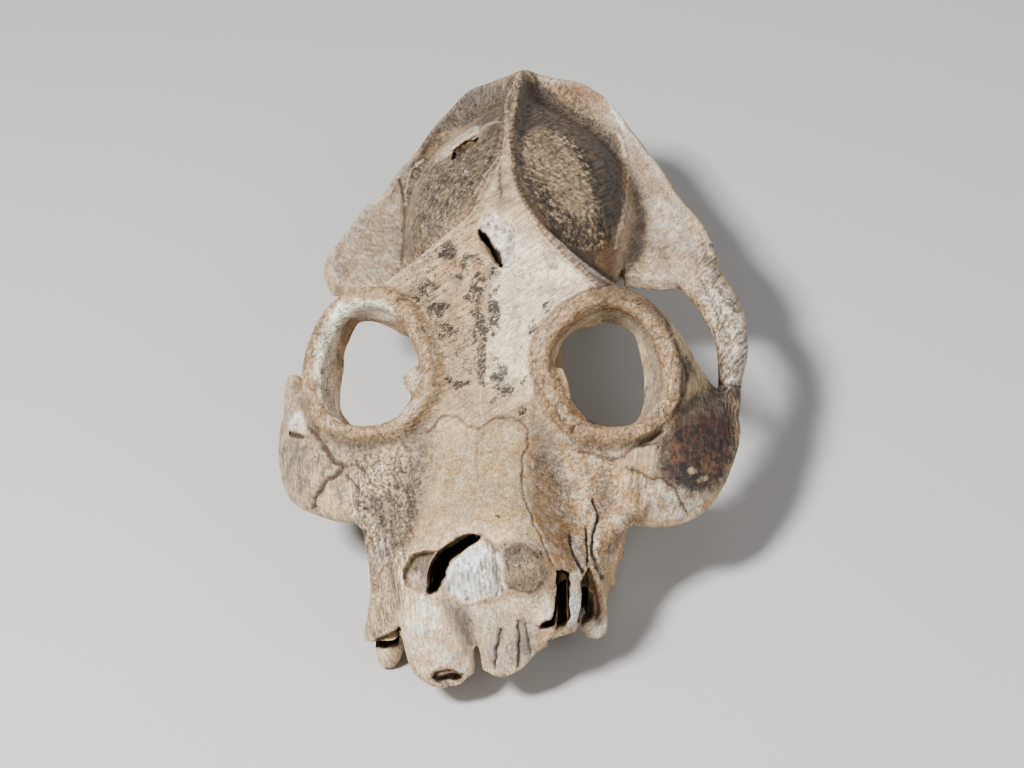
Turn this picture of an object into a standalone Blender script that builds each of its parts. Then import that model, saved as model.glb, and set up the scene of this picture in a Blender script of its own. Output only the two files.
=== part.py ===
"""Skull of a large sloth lemur, without its lower jaw, as the bones it is made of.

The shape is set out in millimetres in the skull's own frame: X to the skull's left with the midline at 0,
Y backwards from the snout, Z up from the plane the teeth stand on. At the end the whole is tilted until it
rests on its cheek teeth and on the two processes under its back, and is moved so that the floor is Z = 0.
"""
import math

import bmesh
import bpy
import numpy as np
from mathutils import Euler, Matrix, Vector

GAP = 0.3  # mm, between one bone and the next
GRAIN = 0.9  # mm, to which the joined forms are melted together
TRIANGLES = 9000  # of the whole skull, before it is parted
FLAT = 0.5  # mm, worn off the points it rests on, so that they stand on small flats
TOOTH_REST = (10.0, 0.6)  # y and z of the last point of the tooth rows, on which the skull rests
PROCESS_REST = (97.5, 9.4)  # and of the tip of the process behind each ear
# colour of each bone where it is lit, and how rough it is
BONE_LOOK = {
    "occipital": ((0.45, 0.36, 0.24), 0.62),
    "temporal_left": ((0.47, 0.41, 0.33), 0.58),
    "temporal_right": ((0.50, 0.43, 0.34), 0.58),
    "jugal_left": ((0.30, 0.23, 0.16), 0.60),
    "jugal_right": ((0.40, 0.35, 0.28), 0.62),
    "frontal": ((0.50, 0.41, 0.29), 0.60),
    "sphenoid": ((0.40, 0.33, 0.24), 0.65),
    "parietals": ((0.42, 0.34, 0.22), 0.62),
    "premaxilla_left": ((0.42, 0.37, 0.29), 0.62),
    "premaxilla_right": ((0.55, 0.45, 0.30), 0.60),
    "nasal_left": ((0.46, 0.40, 0.30), 0.60),
    "nasal_right": ((0.44, 0.38, 0.29), 0.62),
    "maxilla_left": ((0.52, 0.44, 0.32), 0.60),
    "maxilla_right": ((0.45, 0.38, 0.28), 0.62),
}
MM = 0.001  # the outlines below are in millimetres, the meshes in metres


def spline(points, spans, closed=False):
    """A smooth curve through points, with spans steps from each point to the next."""
    p = np.array(points, float)
    if closed:
        p = np.concatenate([p[-1:], p, p[:2]])
    else:
        p = np.concatenate([[2 * p[0] - p[1]], p, [2 * p[-1] - p[-2]]])
    t = (np.arange(spans) / spans).reshape((-1,) + (1,) * (p.ndim - 1))
    out = []
    for a, b, c, d in zip(p, p[1:], p[2:], p[3:]):
        bend, twist = 2 * a - 5 * b + 4 * c - d, 3 * b - a - 3 * c + d
        out.append(0.5 * (2 * b + (c - a) * t + bend * t**2 + twist * t**3))
    curve = np.concatenate(out)
    return curve if closed else np.concatenate([curve, p[-2:-1]])


def grid_solid(near, far, closed=False):
    """One closed solid between two grids of points, near and far, whose rims are joined by walls."""
    rows, cols = near.shape[:2]
    points = np.concatenate([near.reshape(-1, 3), far.reshape(-1, 3)])
    other = rows * cols
    faces = []
    last = rows if closed else rows - 1
    for i in range(last):
        k = (i + 1) % rows
        for j in range(cols - 1):
            a, b, c, d = i * cols + j, k * cols + j, k * cols + j + 1, i * cols + j + 1
            faces.append((a, b, c, d))
            faces.append((other + d, other + c, other + b, other + a))
        for j, turn in ((0, 1), (cols - 1, -1)):
            wall = (i * cols + j, other + i * cols + j, other + k * cols + j, k * cols + j)
            faces.append(wall[::turn])
    if not closed:
        for i, turn in ((0, -1), (rows - 1, 1)):
            for j in range(cols - 1):
                wall = (i * cols + j, other + i * cols + j, other + i * cols + j + 1, i * cols + j + 1)
                faces.append(wall[::turn])
    return points, faces


def skin_of_rings(rings, closed=False):
    """A tube over a list of rings of points, capped at both ends unless it is closed on itself."""
    rings = np.array(rings)
    count, sides = rings.shape[:2]
    faces = []
    for i in range(count if closed else count - 1):
        k = (i + 1) % count
        for j in range(sides):
            m = (j + 1) % sides
            faces.append((i * sides + j, i * sides + m, k * sides + m, k * sides + j))
    if not closed:
        faces.append(tuple(range(sides))[::-1])
        faces.append(tuple((count - 1) * sides + j for j in range(sides)))
    return rings.reshape(-1, 3), faces


def unit(v):
    return v / np.maximum(np.linalg.norm(v, axis=-1, keepdims=True), 1e-12)


def rod(path, radii, up=(0, 0, 1), closed=False, spans=6, sides=14):
    """A bar along path, oval across: radii gives half its width and half its height at each point."""
    line = spline(path, spans, closed)
    size = spline([r if np.ndim(r) else (r, r) for r in radii], spans, closed)
    ahead = unit(np.roll(line, -1, 0) - np.roll(line, 1, 0)) if closed else unit(np.gradient(line, axis=0))
    side = unit(np.cross(ahead, np.array(up, float)))
    top = np.cross(side, ahead)
    turn = np.linspace(0, 2 * np.pi, sides, endpoint=False)
    cos, sin = np.cos(turn)[:, None], np.sin(turn)[:, None]
    rings = [p + s * cos * r[0] + t * sin * r[1] for p, s, t, r in zip(line, side, top, size)]
    return skin_of_rings(rings, closed)


def loft(stations, spans=4):
    """A body along Y, alike on both sides. Each station is y and half its outline as (x, z) from the top."""
    halves = []
    for y, outline in stations:
        half = np.array([(x, y, z) for x, z in outline], float)
        halves.append(np.concatenate([half, half[-2:0:-1] * (-1, 1, 1)]))
    along = spline(halves, spans)
    return skin_of_rings([spline(ring, 3, closed=True) for ring in along])


def sheet(rows, above, below, facing=(0, -0.5, 1), spans=4):
    """A curved plate through rows of points, which reaches above them on the side it faces, and below."""
    mid = spline([spline(row, spans) for row in rows], spans)
    du, dv = np.gradient(mid, axis=0), np.gradient(mid, axis=1)
    normal = unit(np.cross(dv, du))
    if (normal @ np.array(facing)).sum() < 0:
        normal = -normal
    return grid_solid(mid + normal * above, mid - normal * below)


def ball(centre, radii, turn=(0, 0, 0)):
    """An ellipsoid, turned about X, Y and Z by these angles in degrees."""
    rings = []
    around = np.linspace(0, 2 * np.pi, 20, endpoint=False)
    for tilt in np.linspace(0.02, np.pi - 0.02, 13):
        circle = [np.cos(around) * np.sin(tilt), np.sin(around) * np.sin(tilt), np.full(20, np.cos(tilt))]
        rings.append(np.stack(circle, 1) * radii)
    points, faces = skin_of_rings(rings[::-1])
    matrix = np.array(Euler([math.radians(a) for a in turn]).to_matrix())
    return points @ matrix.T + centre, faces


def mirrored(form):
    points, faces = form
    return points * (-1, 1, 1), [f[::-1] for f in faces]


def outward(form):
    """The same closed form, with its faces turned out."""
    points, faces = form
    volume = sum(points[f[0]] @ np.cross(points[f[i]], points[f[i + 1]]) for f in faces for i in range(1,
        len(f) - 1))
    return form if volume > 0 else (points, [f[::-1] for f in faces])


def both(*forms):
    return [*forms, *map(mirrored, forms)]


LEAN = 4.6  # mm, by which the back of the braincase is bent to the skull's right
# each orbit's centre and the size of its round rim: mean radius, and how much wider or squarer it is,
# the last number how far it bulges at the upper inner side
ORBITS = {
    1: ((28.0, -13.1, 54.0), (16.2, -0.8, 0.1, -0.3, -0.2, 1.5)),
    -1: ((-30.8, -12.4, 53.7), (16.5, -0.5, 0.2, -0.7, -0.3, -1.0)),
}
BULGE_AT, BULGE_WIDTH = 150.0, 24.0  # degrees
RIM_OUT = (0.938, 0.346, 0.0)
RIM_UP = (-0.226, 0.612, 0.758)
RIM_BACK = (-0.262, 0.711, -0.653)
# y of the middle, length, width, and how far each cheek tooth stands out, from the front one back
CHEEK_TEETH = (
    (-38.5, 9.5, 5.5, 23.6), (-29, 9, 7, 24.4), (-16.5, 14.5, 9.5, 24.5), (-1.5, 14, 9, 23),
        (10, 8, 6.5, 21.5),
)


def leaning(forms):
    """Bends forms to the side towards the back, as the braincase of this skull is."""
    bent = []
    for points, faces in forms:
        back = np.clip((points[:, 1] - 30) / 92, 0, None)
        bent.append((points - np.outer(LEAN * back, (1, 0, 0)), faces))
    return bent


def rim(side, degrees, behind=0.0, inset=0.0):
    """Points round an orbit: 0 is the outer side, 90 the top. behind and inset go back and inwards."""
    centre, (mean, wide, skew, point, turn, bulge) = ORBITS[side]
    t = np.radians(degrees)
    radius = mean + wide * np.cos(2 * t) + skew * np.sin(2 * t) - inset
    radius = radius + point * np.cos(3 * t) + turn * np.sin(3 * t)
    radius = radius + bulge * np.exp(-(((np.asarray(degrees) - BULGE_AT) / BULGE_WIDTH) ** 2))
    flip = np.array((side, 1, 1))
    across, up, back = (np.array(axis) * flip for axis in (RIM_OUT, RIM_UP, RIM_BACK))
    on_rim = np.outer(radius * np.cos(t), across) + np.outer(radius * np.sin(t), up)
    return centre + on_rim + np.outer(behind + 0 * t, back)


def muzzle():
    """Maxillae, nasals and palate: one body from the nose tip to the back of the palate."""
    return [loft((
        (-66, ((0, 33.5), (7, 34.5), (12, 32), (15, 26), (16.5, 20), (15, 14), (10, 11), (5, 11), (0, 12))),
        (-61, ((0, 38.6), (8, 39.2), (14, 35.8), (19, 28.5), (22.5, 20), (21.5, 12), (15, 8), (8, 9),
            (0, 11))),
        (-54, ((0, 40.6), (9, 40.4), (14.5, 36.5), (21, 29), (25.5, 21), (26, 11), (19, 5.5), (11, 9),
            (0, 12))),
        (-45, ((0, 41.5), (9, 40.5), (14.5, 36), (20, 30.5), (26.5, 23), (28, 12), (23.5, 6), (14, 10),
            (0, 13.5))),
        (-35, ((0, 43), (9, 42), (14, 37.5), (20, 32), (28.5, 25.5), (30, 14), (26, 6), (17, 11),
            (0, 14.5))),
        (-25, ((0, 46), (9, 45), (13.5, 40.5), (20, 35.5), (29, 28.5), (31.5, 16.5), (27.5, 6.5),
            (18, 11.5), (0, 15))),
        (-13, ((0, 50), (8, 48), (11, 42), (17, 35), (26, 30), (30.5, 19), (28.5, 7), (18, 12), (0, 15.5))),
        (-1, ((0, 48), (8, 46), (10, 40), (14.5, 33), (22.5, 28.4), (28.5, 19.5), (27.5, 8),
            (17.5, 12.5), (0, 16))),
        (9, ((0, 46), (7, 44), (8.2, 38), (9.8, 31), (15, 24.6), (22, 19.5), (24, 10), (16, 13),
            (0, 16.5))),
        (17, ((0, 44), (6, 42), (7.2, 37), (8.2, 30), (10, 23), (14, 18), (14.5, 14.5), (11, 13.5),
            (0, 17))),
    ))]


def pillar():
    """The wall between the orbits, which swells into the neck behind them."""
    return [loft((
        (-30, ((0, 43.5), (8, 43), (11, 37), (11, 30), (0, 27))),
        (-18, ((0, 50), (9, 50), (10.5, 42), (11, 31), (0, 27))),
        (-6, ((0, 58), (10, 58), (9, 47), (9.8, 33), (0, 26))),
        (6, ((0, 67), (10, 65), (8.8, 52), (8.6, 36), (0, 26))),
        (18, ((0, 74), (9.5, 70), (10.5, 56), (8.4, 38), (0, 26))),
        (30, ((0, 77), (9.5, 71), (16.5, 57), (11.5, 42), (0, 28))),
        (44, ((0, 76), (11, 70), (24, 57), (21, 41), (0, 28))),
    ))]


def brow():
    """The frontal's upper plate, spread from orbit to orbit and drawn together where the crest begins."""
    half = (
        ((0, -27, 45.3), (7, -27, 45), (14, -26, 44), (20, -27, 41)),
        ((0, -15, 54), (6, -15, 54), (11, -15, 55), (15, -15.5, 56)),
        ((0, -5, 61.3), (8, -6, 61.5), (14.5, -7.5, 62.5), (19.5, -6, 65)),
        ((0, 3, 67.3), (9, 2.5, 67), (18, 1.5, 67.2), (27.5, 0.2, 68.3)),
        ((0, 12, 74), (7, 11, 73.3), (13.5, 8.8, 72.3), (20, 6, 71.5)),
        ((0, 21, 77.8), (3.4, 20, 77.6), (6.6, 18.8, 76.9), (9.8, 17, 75.8)),
        ((0, 34, 79.4), (0.9, 33, 79.2), (1.8, 32, 78.8), (2.6, 31, 78.4)),
    )
    rows = [[(-x, y, z) for x, y, z in row[:0:-1]] + list(row) for row in half]
    rows[1][-1], rows[2][-1] = (13.2, -15.2, 55.4), (18.2, -6.4, 64.4)
    return [sheet(rows, 0.0, 5.0)]


def temporal_lines():
    """The raised edge of the brow on each side, which runs back and meets its fellow as the crest."""
    line = (
        (29, 0.5, 66.8), (24.5, 3.6, 68.6), (19.5, 7.2, 70.8), (14.5, 11.5, 73.2), (9.4, 17, 75.2),
            (5.4, 24, 76.9),
        (2.4, 33, 77.6), (0.9, 48, 76.6),
    )
    line = [(x, y, z - 1.2) for x, y, z in line]
    return leaning(both(rod(line, [(1.4, 3.0)] * len(line))))


def braincase():
    return leaning([loft((
        (24, ((0, 77), (7, 72), (11, 64), (13, 53), (9, 41), (0, 28))),
        (40, ((0, 76), (10, 71.5), (20.5, 64), (25, 51), (20, 38), (0, 28))),
        (56, ((0, 74), (11, 70), (24, 62), (29.5, 49), (26, 34), (0, 25))),
        (72, ((0, 72), (11, 68.5), (24, 61), (30.5, 48), (27, 32), (0, 23))),
        (88, ((0, 69), (10, 65.5), (22, 58), (29, 46), (26, 30), (0, 21))),
        (102, ((0, 65), (9, 61), (19, 54), (26, 43), (23, 28), (0, 20))),
        (114, ((0, 59), (8, 55), (16, 48), (21, 38), (18, 27), (0, 24))),
    ))])


def sagittal_crest():
    ridge = (
        (0, 22, 77.8), (0, 32, 79.3), (0, 44, 78.8), (0, 60, 77.8), (0, 82, 75), (0, 102, 70.5),
            (0, 116, 66),
        (0, 125, 61.5),
    )
    drop = 4.0
    path = [(x, y, z - drop) for x, y, z in ridge]
    return leaning([rod(path, [(1.5, drop)] * len(path))])


def nuchal_shelf():
    """The nuchal crest, which runs on as the ledge over the ear and the root of the cheek arch.

    Each row is a point of its outer edge and the point where it leaves the braincase. The skull's right
    side is broken off where the arch began, and both edges are chipped."""
    left = (
        ((-4.6, 125, 61.5), (-4, 113, 58)), ((3.5, 121.2, 60.5), (2, 111.5, 57)), ((11.4, 122.4, 58),
            (8, 109, 54.5)),
        ((18.8, 118, 55.5), (13, 104, 50.5)), ((25.6, 107.6, 52.8), (18, 97, 47)), ((31.2, 97.2, 50.8),
            (22, 90, 44.5)),
        ((36.3, 87.7, 49.5), (24.5, 82, 43.5)), ((40.7, 76.5, 48.5), (25.5, 71, 42.5)),
            ((48.2, 62.2, 47), (27, 59, 42)),
        ((52, 49, 45), (27.5, 50.5, 42)), ((49.2, 42.5, 43.5), (27.5, 44.8, 42)),
    )
    right = (
        ((-4.6, 125, 61.5), (-4, 113, 58)), ((-12.8, 120.5, 60), (-10, 110, 56)), ((-20.4, 120.7, 57),
            (-15, 106, 52)),
        ((-26.3, 112.8, 54), (-20, 99, 48)), ((-30.2, 107.4, 51.8), (-24, 94, 46)),
            ((-33.4, 98.6, 50.3), (-26.5, 88, 44.5)),
        ((-38.4, 88.4, 49), (-28.5, 81, 43.5)), ((-40.8, 78.5, 48.3), (-29.5, 73, 43)),
            ((-45.6, 71.6, 47.3), (-30.5, 66, 42.5)),
        ((-49.5, 60, 46), (-30.5, 58, 42)), ((-52.8, 48.6, 45), (-30.5, 49.5, 41.8)),
            ((-49.2, 39.4, 43.5), (-31.5, 42, 42)),
    )
    plates = []
    for side in (left, right):
        rows = [(edge, tuple(0.5 * (np.array(edge) + root) - (0, 0, 1.3)), root) for edge, root in side]
        plates.append(sheet(rows, 1.7, 2.9))
        lip = [np.array(edge) + 1.6 * unit(np.array(root, float) - edge) for edge, root in side]
        plates.append(rod(lip, [(1.5, 2.2)] * len(lip), spans=4))
    return plates


def temporal_base():
    """The parts under the ledge: mastoid, ear tube, petrous swelling and the postglenoid process."""
    return leaning(both(
        ball((24, 86, 37), (11, 17, 13)),
        ball((16, 74, 26.5), (8, 13, 7.5), (0, 0, 12)),
        rod(((17, 75, 28), (26, 73, 33), (36, 71.5, 38)), (5, 4.6, 4.6)),
        rod(((28, 61, 42), (29, 62.5, 36), (29, 63, 31)), ((6, 3.6), (5.5, 3.2), (3.4, 2.4)), up=(0, 1, 0)),
        rod(((21, 95, 36), (24, 97, 22), (25, 97.5, 9.4)), ((7, 7), (5, 5.5), (2.6, 3.4)), up=(0, 1, 0)),
        ball((38, 51.5, 40.5), (11, 8, 3.6)),
    ))


def occiput():
    """The condyles either side of the foramen magnum, and the keel of bone before it."""
    return leaning([
        *both(ball((11.5, 117, 26), (5.2, 6.5, 8), (-25, -18, 20))),
        rod(((0, 56, 27), (0, 85, 24), (0, 108, 22)), ((9.5, 6), (9, 5.5), (7.5, 4.5))),
    ])


def orbit(side):
    """The thick round rim of one orbit, and the plate behind it that closes in from above and outside."""
    around = np.arange(0, 360, 20.0)
    thick = 2.45 + 0.4 * np.cos(np.radians(around - 20))
    ring = rod(rim(side, around), thick, up=tuple(np.array(RIM_BACK) * (side, 1, 1)), closed=True, spans=4)
    arc = np.array((-74, -52, -30, -8, 15, 38, 60, 82, 104, 124.0, 146.0))
    if side > 0:
        closing = np.array((0.6, 3.0, 4.6, 4.9, 4.4, 3.2, 4.0, 5.0, 4.2, 1.4, 0.2))
    else:
        closing = np.array((0.2, 1.2, 3.0, 3.4, 1.8, 0.2, 3.2, 5.6, 5.6, 3.4, 2.0))
    rows = [rim(side, arc, 0, 0.4), rim(side, arc, 4.5, closing * 0.45), rim(side, arc, 9.0, closing)]
    round_face = np.array((112, 140, 168, 196, 222, 246, 268, 290, 308.0))
    fall = np.array((1.6, 1.2, 0.9, 0.7, 1.2, 1.8, 2.4, 3.0, 3.6))
    skirt = [rim(side, round_face, back * fall - lift, -out) for out, back, lift in ((0, 0, 0.6),
        (3, 0.8, 0.0), (5.5, 2.1, -1.6))]
    return [ring, sheet(rows, 1.1, 1.1), sheet(skirt, 0.0, 3.2, facing=(0, -0.7, 0.7))]


def cheek(side):
    """The jugal: a deep plate under the orbit, its root on the maxilla and the flare behind the bar."""
    rows = np.array((
        ((22.5, -26, 38.2), (33, -25.4, 38), (41, -19.5, 40), (44, -8, 45), (41, 0.6, 53), (37.8, 3, 59)),
        ((26.5, -33, 31.6), (37, -32, 31.4), (46.5, -24, 33), (50.3, -9, 38), (45.8, 0.9, 46),
            (40, 6.2, 53.5)),
        ((29.5, -35.4, 27), (41, -33, 26.4), (51.2, -23, 27.6), (55.8, -6.8, 32), (49.2, 0.6, 39),
            (42.2, 4.8, 46.6)),
        ((31, -34.4, 24.4), (43, -31, 23.8), (52.7, -22.4, 23.4), (57.3, -6.4, 29.2), (54.4, -1.2, 33),
            (46.8, 0.2, 37.5)),
    ))
    if side > 0:
        rows[3, 1] += (2.2, -1.2, -1.8)
    else:
        rows[3, 2:4] += ((0.9, -0.3, -0.7), (0.4, 0, 0))
    rows[..., 0] *= 1 if side > 0 else -0.975
    plate = sheet(rows, 2.0, 2.0)
    root = ball((31 * side, -25, 30), (8.5, 11, 9), (0, 20 * side, 0))
    corner = rod(((25 * side, -43.5, 24.4), (31 * side, -38.5, 27.6), (38 * side, -33, 28.6)),
        ((2.4, 3), (2.4, 3), (2, 2.4)))
    return [plate, root, corner]


def face_wall(side):
    """The hollow slope between the nose and the cheek, from the orbit's lower rim down to the teeth."""
    rows = np.array((
        ((7, -24.5, 46.5), (14, -24, 45), (21, -24.5, 43.2), (28, -24.5, 41.5), (35, -23, 40.5)),
        ((8, -33, 43.2), (14, -32.5, 40), (21, -33, 36), (28, -33.2, 33), (37, -31, 31.5)),
        ((9, -39, 41.6), (14.5, -38.5, 37.2), (21, -39, 32), (27, -38.8, 28.5), (33, -36.5, 26)),
        ((9.5, -46, 40.4), (15, -46, 35.5), (21, -46.5, 29.5), (26, -46, 24), (29.5, -44.5, 17)),
        ((9.5, -54, 39), (15, -54.5, 34), (20, -55, 28), (24.5, -54.5, 20.5), (26.5, -53.5, 11)),
    ))
    rows[:, :3, 0] -= 2.0 * side
    if side < 0:
        rows[3:, 2:, 0] += ((0.5, 1.8, 1.2), (1.5, 2.6, 2.2))
        rows[4, 4] = (28.4, -54, 4.5)
    rows[..., 0] *= side
    return [sheet(rows, 0.0, 8.0)]


def orbit_spurs():
    """The sharp flange of bone that stands into the front of each orbit on its inner side."""
    edges = {
        1: ((16.6, -15.2, 55.2), (18, -17.5, 52), (18.9, -20, 48.8), (23.2, -22.7, 44.2)),
        -1: ((-19.6, -14.5, 55.6), (-22.4, -16.4, 52.8), (-19.8, -19, 50.2), (-23.4, -21.6, 46)),
    }
    return [sheet([rim(side, np.array((166, 188, 210, 236)), 0.5), edge], 1.0, 1.0) for side,
        edge in edges.items()]


def cheek_arch():
    """The left arch is whole. On the right only the jugal's blunt end is left of it."""
    bar = rod(
        ((55.6, -3, 33), (56.1, 7, 35.8), (56.3, 21.5, 37.8), (53.2, 33, 40.6), (47.2, 44, 43.2),
            (42, 55, 44)),
        ((3.0, 4.8), (3.1, 4.2), (4.3, 4.6), (5.4, 4.8), (6.2, 4.0), (6.2, 3.2)),
    )
    stub = rod(((-52.8, -8, 33), (-54, -1, 35.5), (-54.3, 5, 38)), ((2.8, 4.6), (2.4, 4.2), (2.2, 3.0)))
    return [bar, stub]


def pterygoids():
    rows = (
        ((6.8, 14, 33), (6.6, 26, 33), (7.4, 38, 31), (9, 50, 28)),
        ((7.2, 15, 24), (7.2, 26, 23), (8.2, 36, 24), (9, 46, 26)),
        ((8.4, 16, 16), (9.6, 26, 12.5), (10, 33, 15.5), (9.6, 40, 21.5)),
    )
    return both(sheet(rows, 1.3, 1.3))


def nose_tip():
    """The front of the face: swellings over the nose, rough bone between them and the two lobes below."""
    rows = (
        (
            (-19, -52, 33), (-13.5, -53, 37), (-6, -54, 39), (0, -55, 39.6),
            (5, -57, 39.8), (10, -58.5, 39.4), (15, -57, 36.5), (19.5, -54, 30),
        ),
        (
            (-20.5, -59, 34), (-15, -62.8, 36), (-9, -61, 36), (-4, -60.5, 36), (0.5, -62, 36.5),
            (5, -65.5, 37.5), (10.5, -67.4, 37), (15.2, -65.5, 35.5), (19.5, -59.5, 30),
        ),
        (
            (-21.5, -60, 29.5), (-17.5, -64.8, 31.5), (-12.5, -64.8, 31), (-7, -62.5, 31), (-2, -63.6, 31),
            (3.5, -65.4, 31.5), (9.5, -67.6, 31.5), (14.8, -66.4, 31), (20, -60.5, 26),
        ),
        (
            (-22.5, -60.5, 24), (-18.3, -65, 26), (-13, -66.6, 25.5), (-7.5, -65.4, 25.2),
                (-2.3, -64.2, 25.2),
            (3.5, -64.9, 25.6), (9, -66.7, 26), (14.5, -65.6, 25.5), (20.5, -60.5, 22),
        ),
        (
            (-22.5, -61, 17.5), (-18.2, -66.6, 18.5), (-12.5, -69, 18), (-7.3, -68, 18),
                (-2.5, -65.6, 18.6),
            (2, -66, 19), (8, -66.8, 20), (14, -65.4, 20), (20, -61.5, 19),
        ),
        (
            (-21, -61.5, 11), (-17.8, -67.2, 11.5), (-12.4, -70, 11), (-7.2, -69.8, 11), (-3, -67.4, 12.5),
            (0.6, -67.4, 12.5), (5, -68.2, 13), (11, -66.4, 14), (17, -62, 15.5),
        ),
        (
            (-20, -63.5, 4.5), (-17.4, -68, 3.2), (-12.5, -70.6, 1.8), (-7.6, -70.6, 2), (-3.6, -68.6, 4.5),
            (-0.8, -68.2, 5.2), (3.2, -69.4, 4.2), (8, -68.6, 6), (13, -65.5, 10.5),
        ),
    )
    rows = [spline(row, 3)[np.linspace(0, 3 * len(row) - 3, 22).round().astype(int)] for row in rows]
    return [sheet(rows, 0.0, 8.0, facing=(0, -1, 0.3), spans=2)]


def socket_wall():
    """The left jaw edge outside the canine, which is whole; the right one is broken away."""
    rows = (
        ((-23, -60.5, 20), (-27.6, -57.5, 20), (-28.4, -50, 21), (-28.2, -40, 22)),
        ((-23, -61.5, 14), (-28.6, -57.5, 13), (-29.6, -50, 14), (-29.4, -40, 14)),
        ((-22.6, -62, 9.6), (-30, -57, 8), (-30.8, -50, 8), (-30, -40, 8.5)),
        ((-24, -61, 7.6), (-31.3, -56, 3.4), (-31.5, -50, 2.6), (-30, -40, 3.4)),
    )
    return [sheet(rows, 0.0, 3.0, facing=(-1, -0.6, 0))]


def cheek_tooth(side, y, length, width, out):
    """A low crown with a cusp at each corner, sunk into the jaw's edge."""
    crown = ball((side * out, y, 5.2), (width * 0.56, length * 0.54, 4.4))
    cusps = [
        ball((side * out + dx * width * 0.3, y + dy * length * 0.27, 2.6),
            (width * 0.22, length * 0.24, 2.7))
        for dx in (-1, 1) for dy in (-1, 1)
    ]
    root = ((side * out, y, 4.5), (side * (out - 0.5), y, 12))
    neck = rod(root, ((width * 0.5, length * 0.48), (width * 0.42, length * 0.42)), up=(0, 1, 0))
    return [crown, neck, *cusps]


def teeth():
    rows = [form for side in (1, -1) for size in CHEEK_TEETH for form in cheek_tooth(side, *size)]
    whole = rod(((-26, -51, 9), (-26, -53.4, -0.4), (-27, -54.6, -5.3)), (2.2, 3.5, 2.0), up=(0, 1, 0))
    return [*rows, whole]


def broken_socket():
    """What stands in the open socket on the right: the root's outer half, its crown and a splinter."""
    shell = rod(((24.4, -50.6, 24), (26.0, -51.4, 17.5), (26.5, -51.8, 11), (25.8, -52, 5.5)),
        ((1.0, 2.2), (1.1, 2.4), (1.0, 2.4), (1.6, 2.4)), up=(0, 1, 0))
    crown = ball((24.2, -52, 5.4), (3.2, 3.0, 3.1), (0, 20, 0))
    inner = rod(((24.2, -49.4, 22), (24.8, -49.6, 14), (24.2, -50, 6)), ((1.2, 1.4), (1.9, 1.6),
        (1.6, 1.6)), up=(0, 1, 0))
    plate = rod(((20.6, -52.6, 25), (20.4, -53.6, 18), (20.1, -54, 12), (19.4, -54.4, 7)), ((1.3, 3),
        (1.5, 3), (1.3, 3), (0.9, 2.4)), up=(0, 1, 0))
    return [shell, crown, inner, plate]


def bone_forms():
    sides = [form for side in (1, -1) for form in (*orbit(side), *cheek(side), *face_wall(side))]
    return [
        *muzzle(), *pillar(), *brow(), *temporal_lines(), *braincase(), *sagittal_crest(), *nuchal_shelf(),
        *temporal_base(), *occiput(), *sides, *orbit_spurs(), *cheek_arch(), *pterygoids(), *nose_tip(),
        *socket_wall(), *teeth(),
    ]


def hollow_forms():
    """What is cut away: the slot of the nose, the notch under it, the open sockets, the holes in the roof,
    the foramen magnum, the ear and the choanae."""
    nose_slot = rod(
        ((-0.9, -60.2, 39.1), (-4.2, -60.6, 37.9), (-8.2, -61.6, 35.2), (-11, -63, 31.4),
            (-12.1, -65, 26.8)),
        ((0.9, 6), (1.7, 8), (2.1, 9), (1.6, 8), (0.8, 6)), up=(0.1, -0.9, 0.35),
    )
    notch = rod(((-2.2, -75, 5), (-2.3, -68, 6), (-2.4, -58, 8)), ((1.3, 7.5), (1.1, 7), (0.8, 5)))
    pocket = rod(((-9.0, -73, 1.6), (-8.8, -66, 8)), ((4.2, 1.7), (2.8, 1.4)), up=(0, 1, 0))
    jaw_gap = rod(((18.3, -57, 27.4), (18.0, -57.5, 19), (17.0, -58.5, 13), (13.2, -60.5, 9.8)),
        ((1.2, 9), (1.6, 9), (1.8, 9), (1.1, 7)), up=(0, -1, 0.2))
    jaw_end = ball((21.5, -66, 5.2), (9.6, 11, 10), (0, 30, 0))
    root_gap = rod(((23.2, -54, 24.5), (23.4, -54, 17), (23.0, -54, 5)), ((1.6, 7), (3.2, 8),
        (3.8, 9)), up=(0, -1, 0))
    outer_break = rod(((31.5, -60, 8), (32.2, -48, 7), (33.4, -38, 3), (33.5, -24, -2)), ((5.5, 14),
        (5.5, 14), (5.5, 9), (5, 7)))
    gum_gap = rod(((-29, -60, 2.6), (-25.4, -58, 5.0), (-22, -57, 8.4)), ((4, 0.8), (4.5, 1.7),
        (4, 1.4)), up=(0.3, 0, 1))
    dent = ball((-0.6, 14, 75.8), (5.2, 9, 3.0), (29, 0, 10))
    slit = ((-4.6, 16.2, 76.3), (-2.4, 11.8, 74.6), (0.6, 7.4, 71.6))
    roof_hole = rod(slit, ((0.9, 4), (1.5, 5), (1.4, 4)), up=(0, -0.55, 0.83))
    back_hole = rod(((-19.2, 73.5, 65.8), (-13.6, 78.4, 68.2)), ((1.5, 7), (1.5, 7)), up=(-0.35, -0.2, 0.9))
    foramen = rod(((0, 134, 35), (0, 118, 33), (0, 100, 33)), ((8.5, 8.5), (8.2, 8), (6, 6)))
    choana = rod(((3.3, 30, 21), (3.3, 16, 23), (3.2, 0, 25)), ((2.5, 6), (2.4, 5.5), (2, 3.5)))
    ear = rod(((42, 72, 39.5), (34, 72, 37)), ((2.2, 2.4), (1.4, 1.6)), up=(0, 1, 0))
    return [
        nose_slot, notch, pocket, jaw_gap, jaw_end, root_gap, outer_break, gum_gap, dent, roof_hole,
            back_hole,
        *both(choana), *leaning([foramen, *both(ear)]),
    ]




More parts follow.
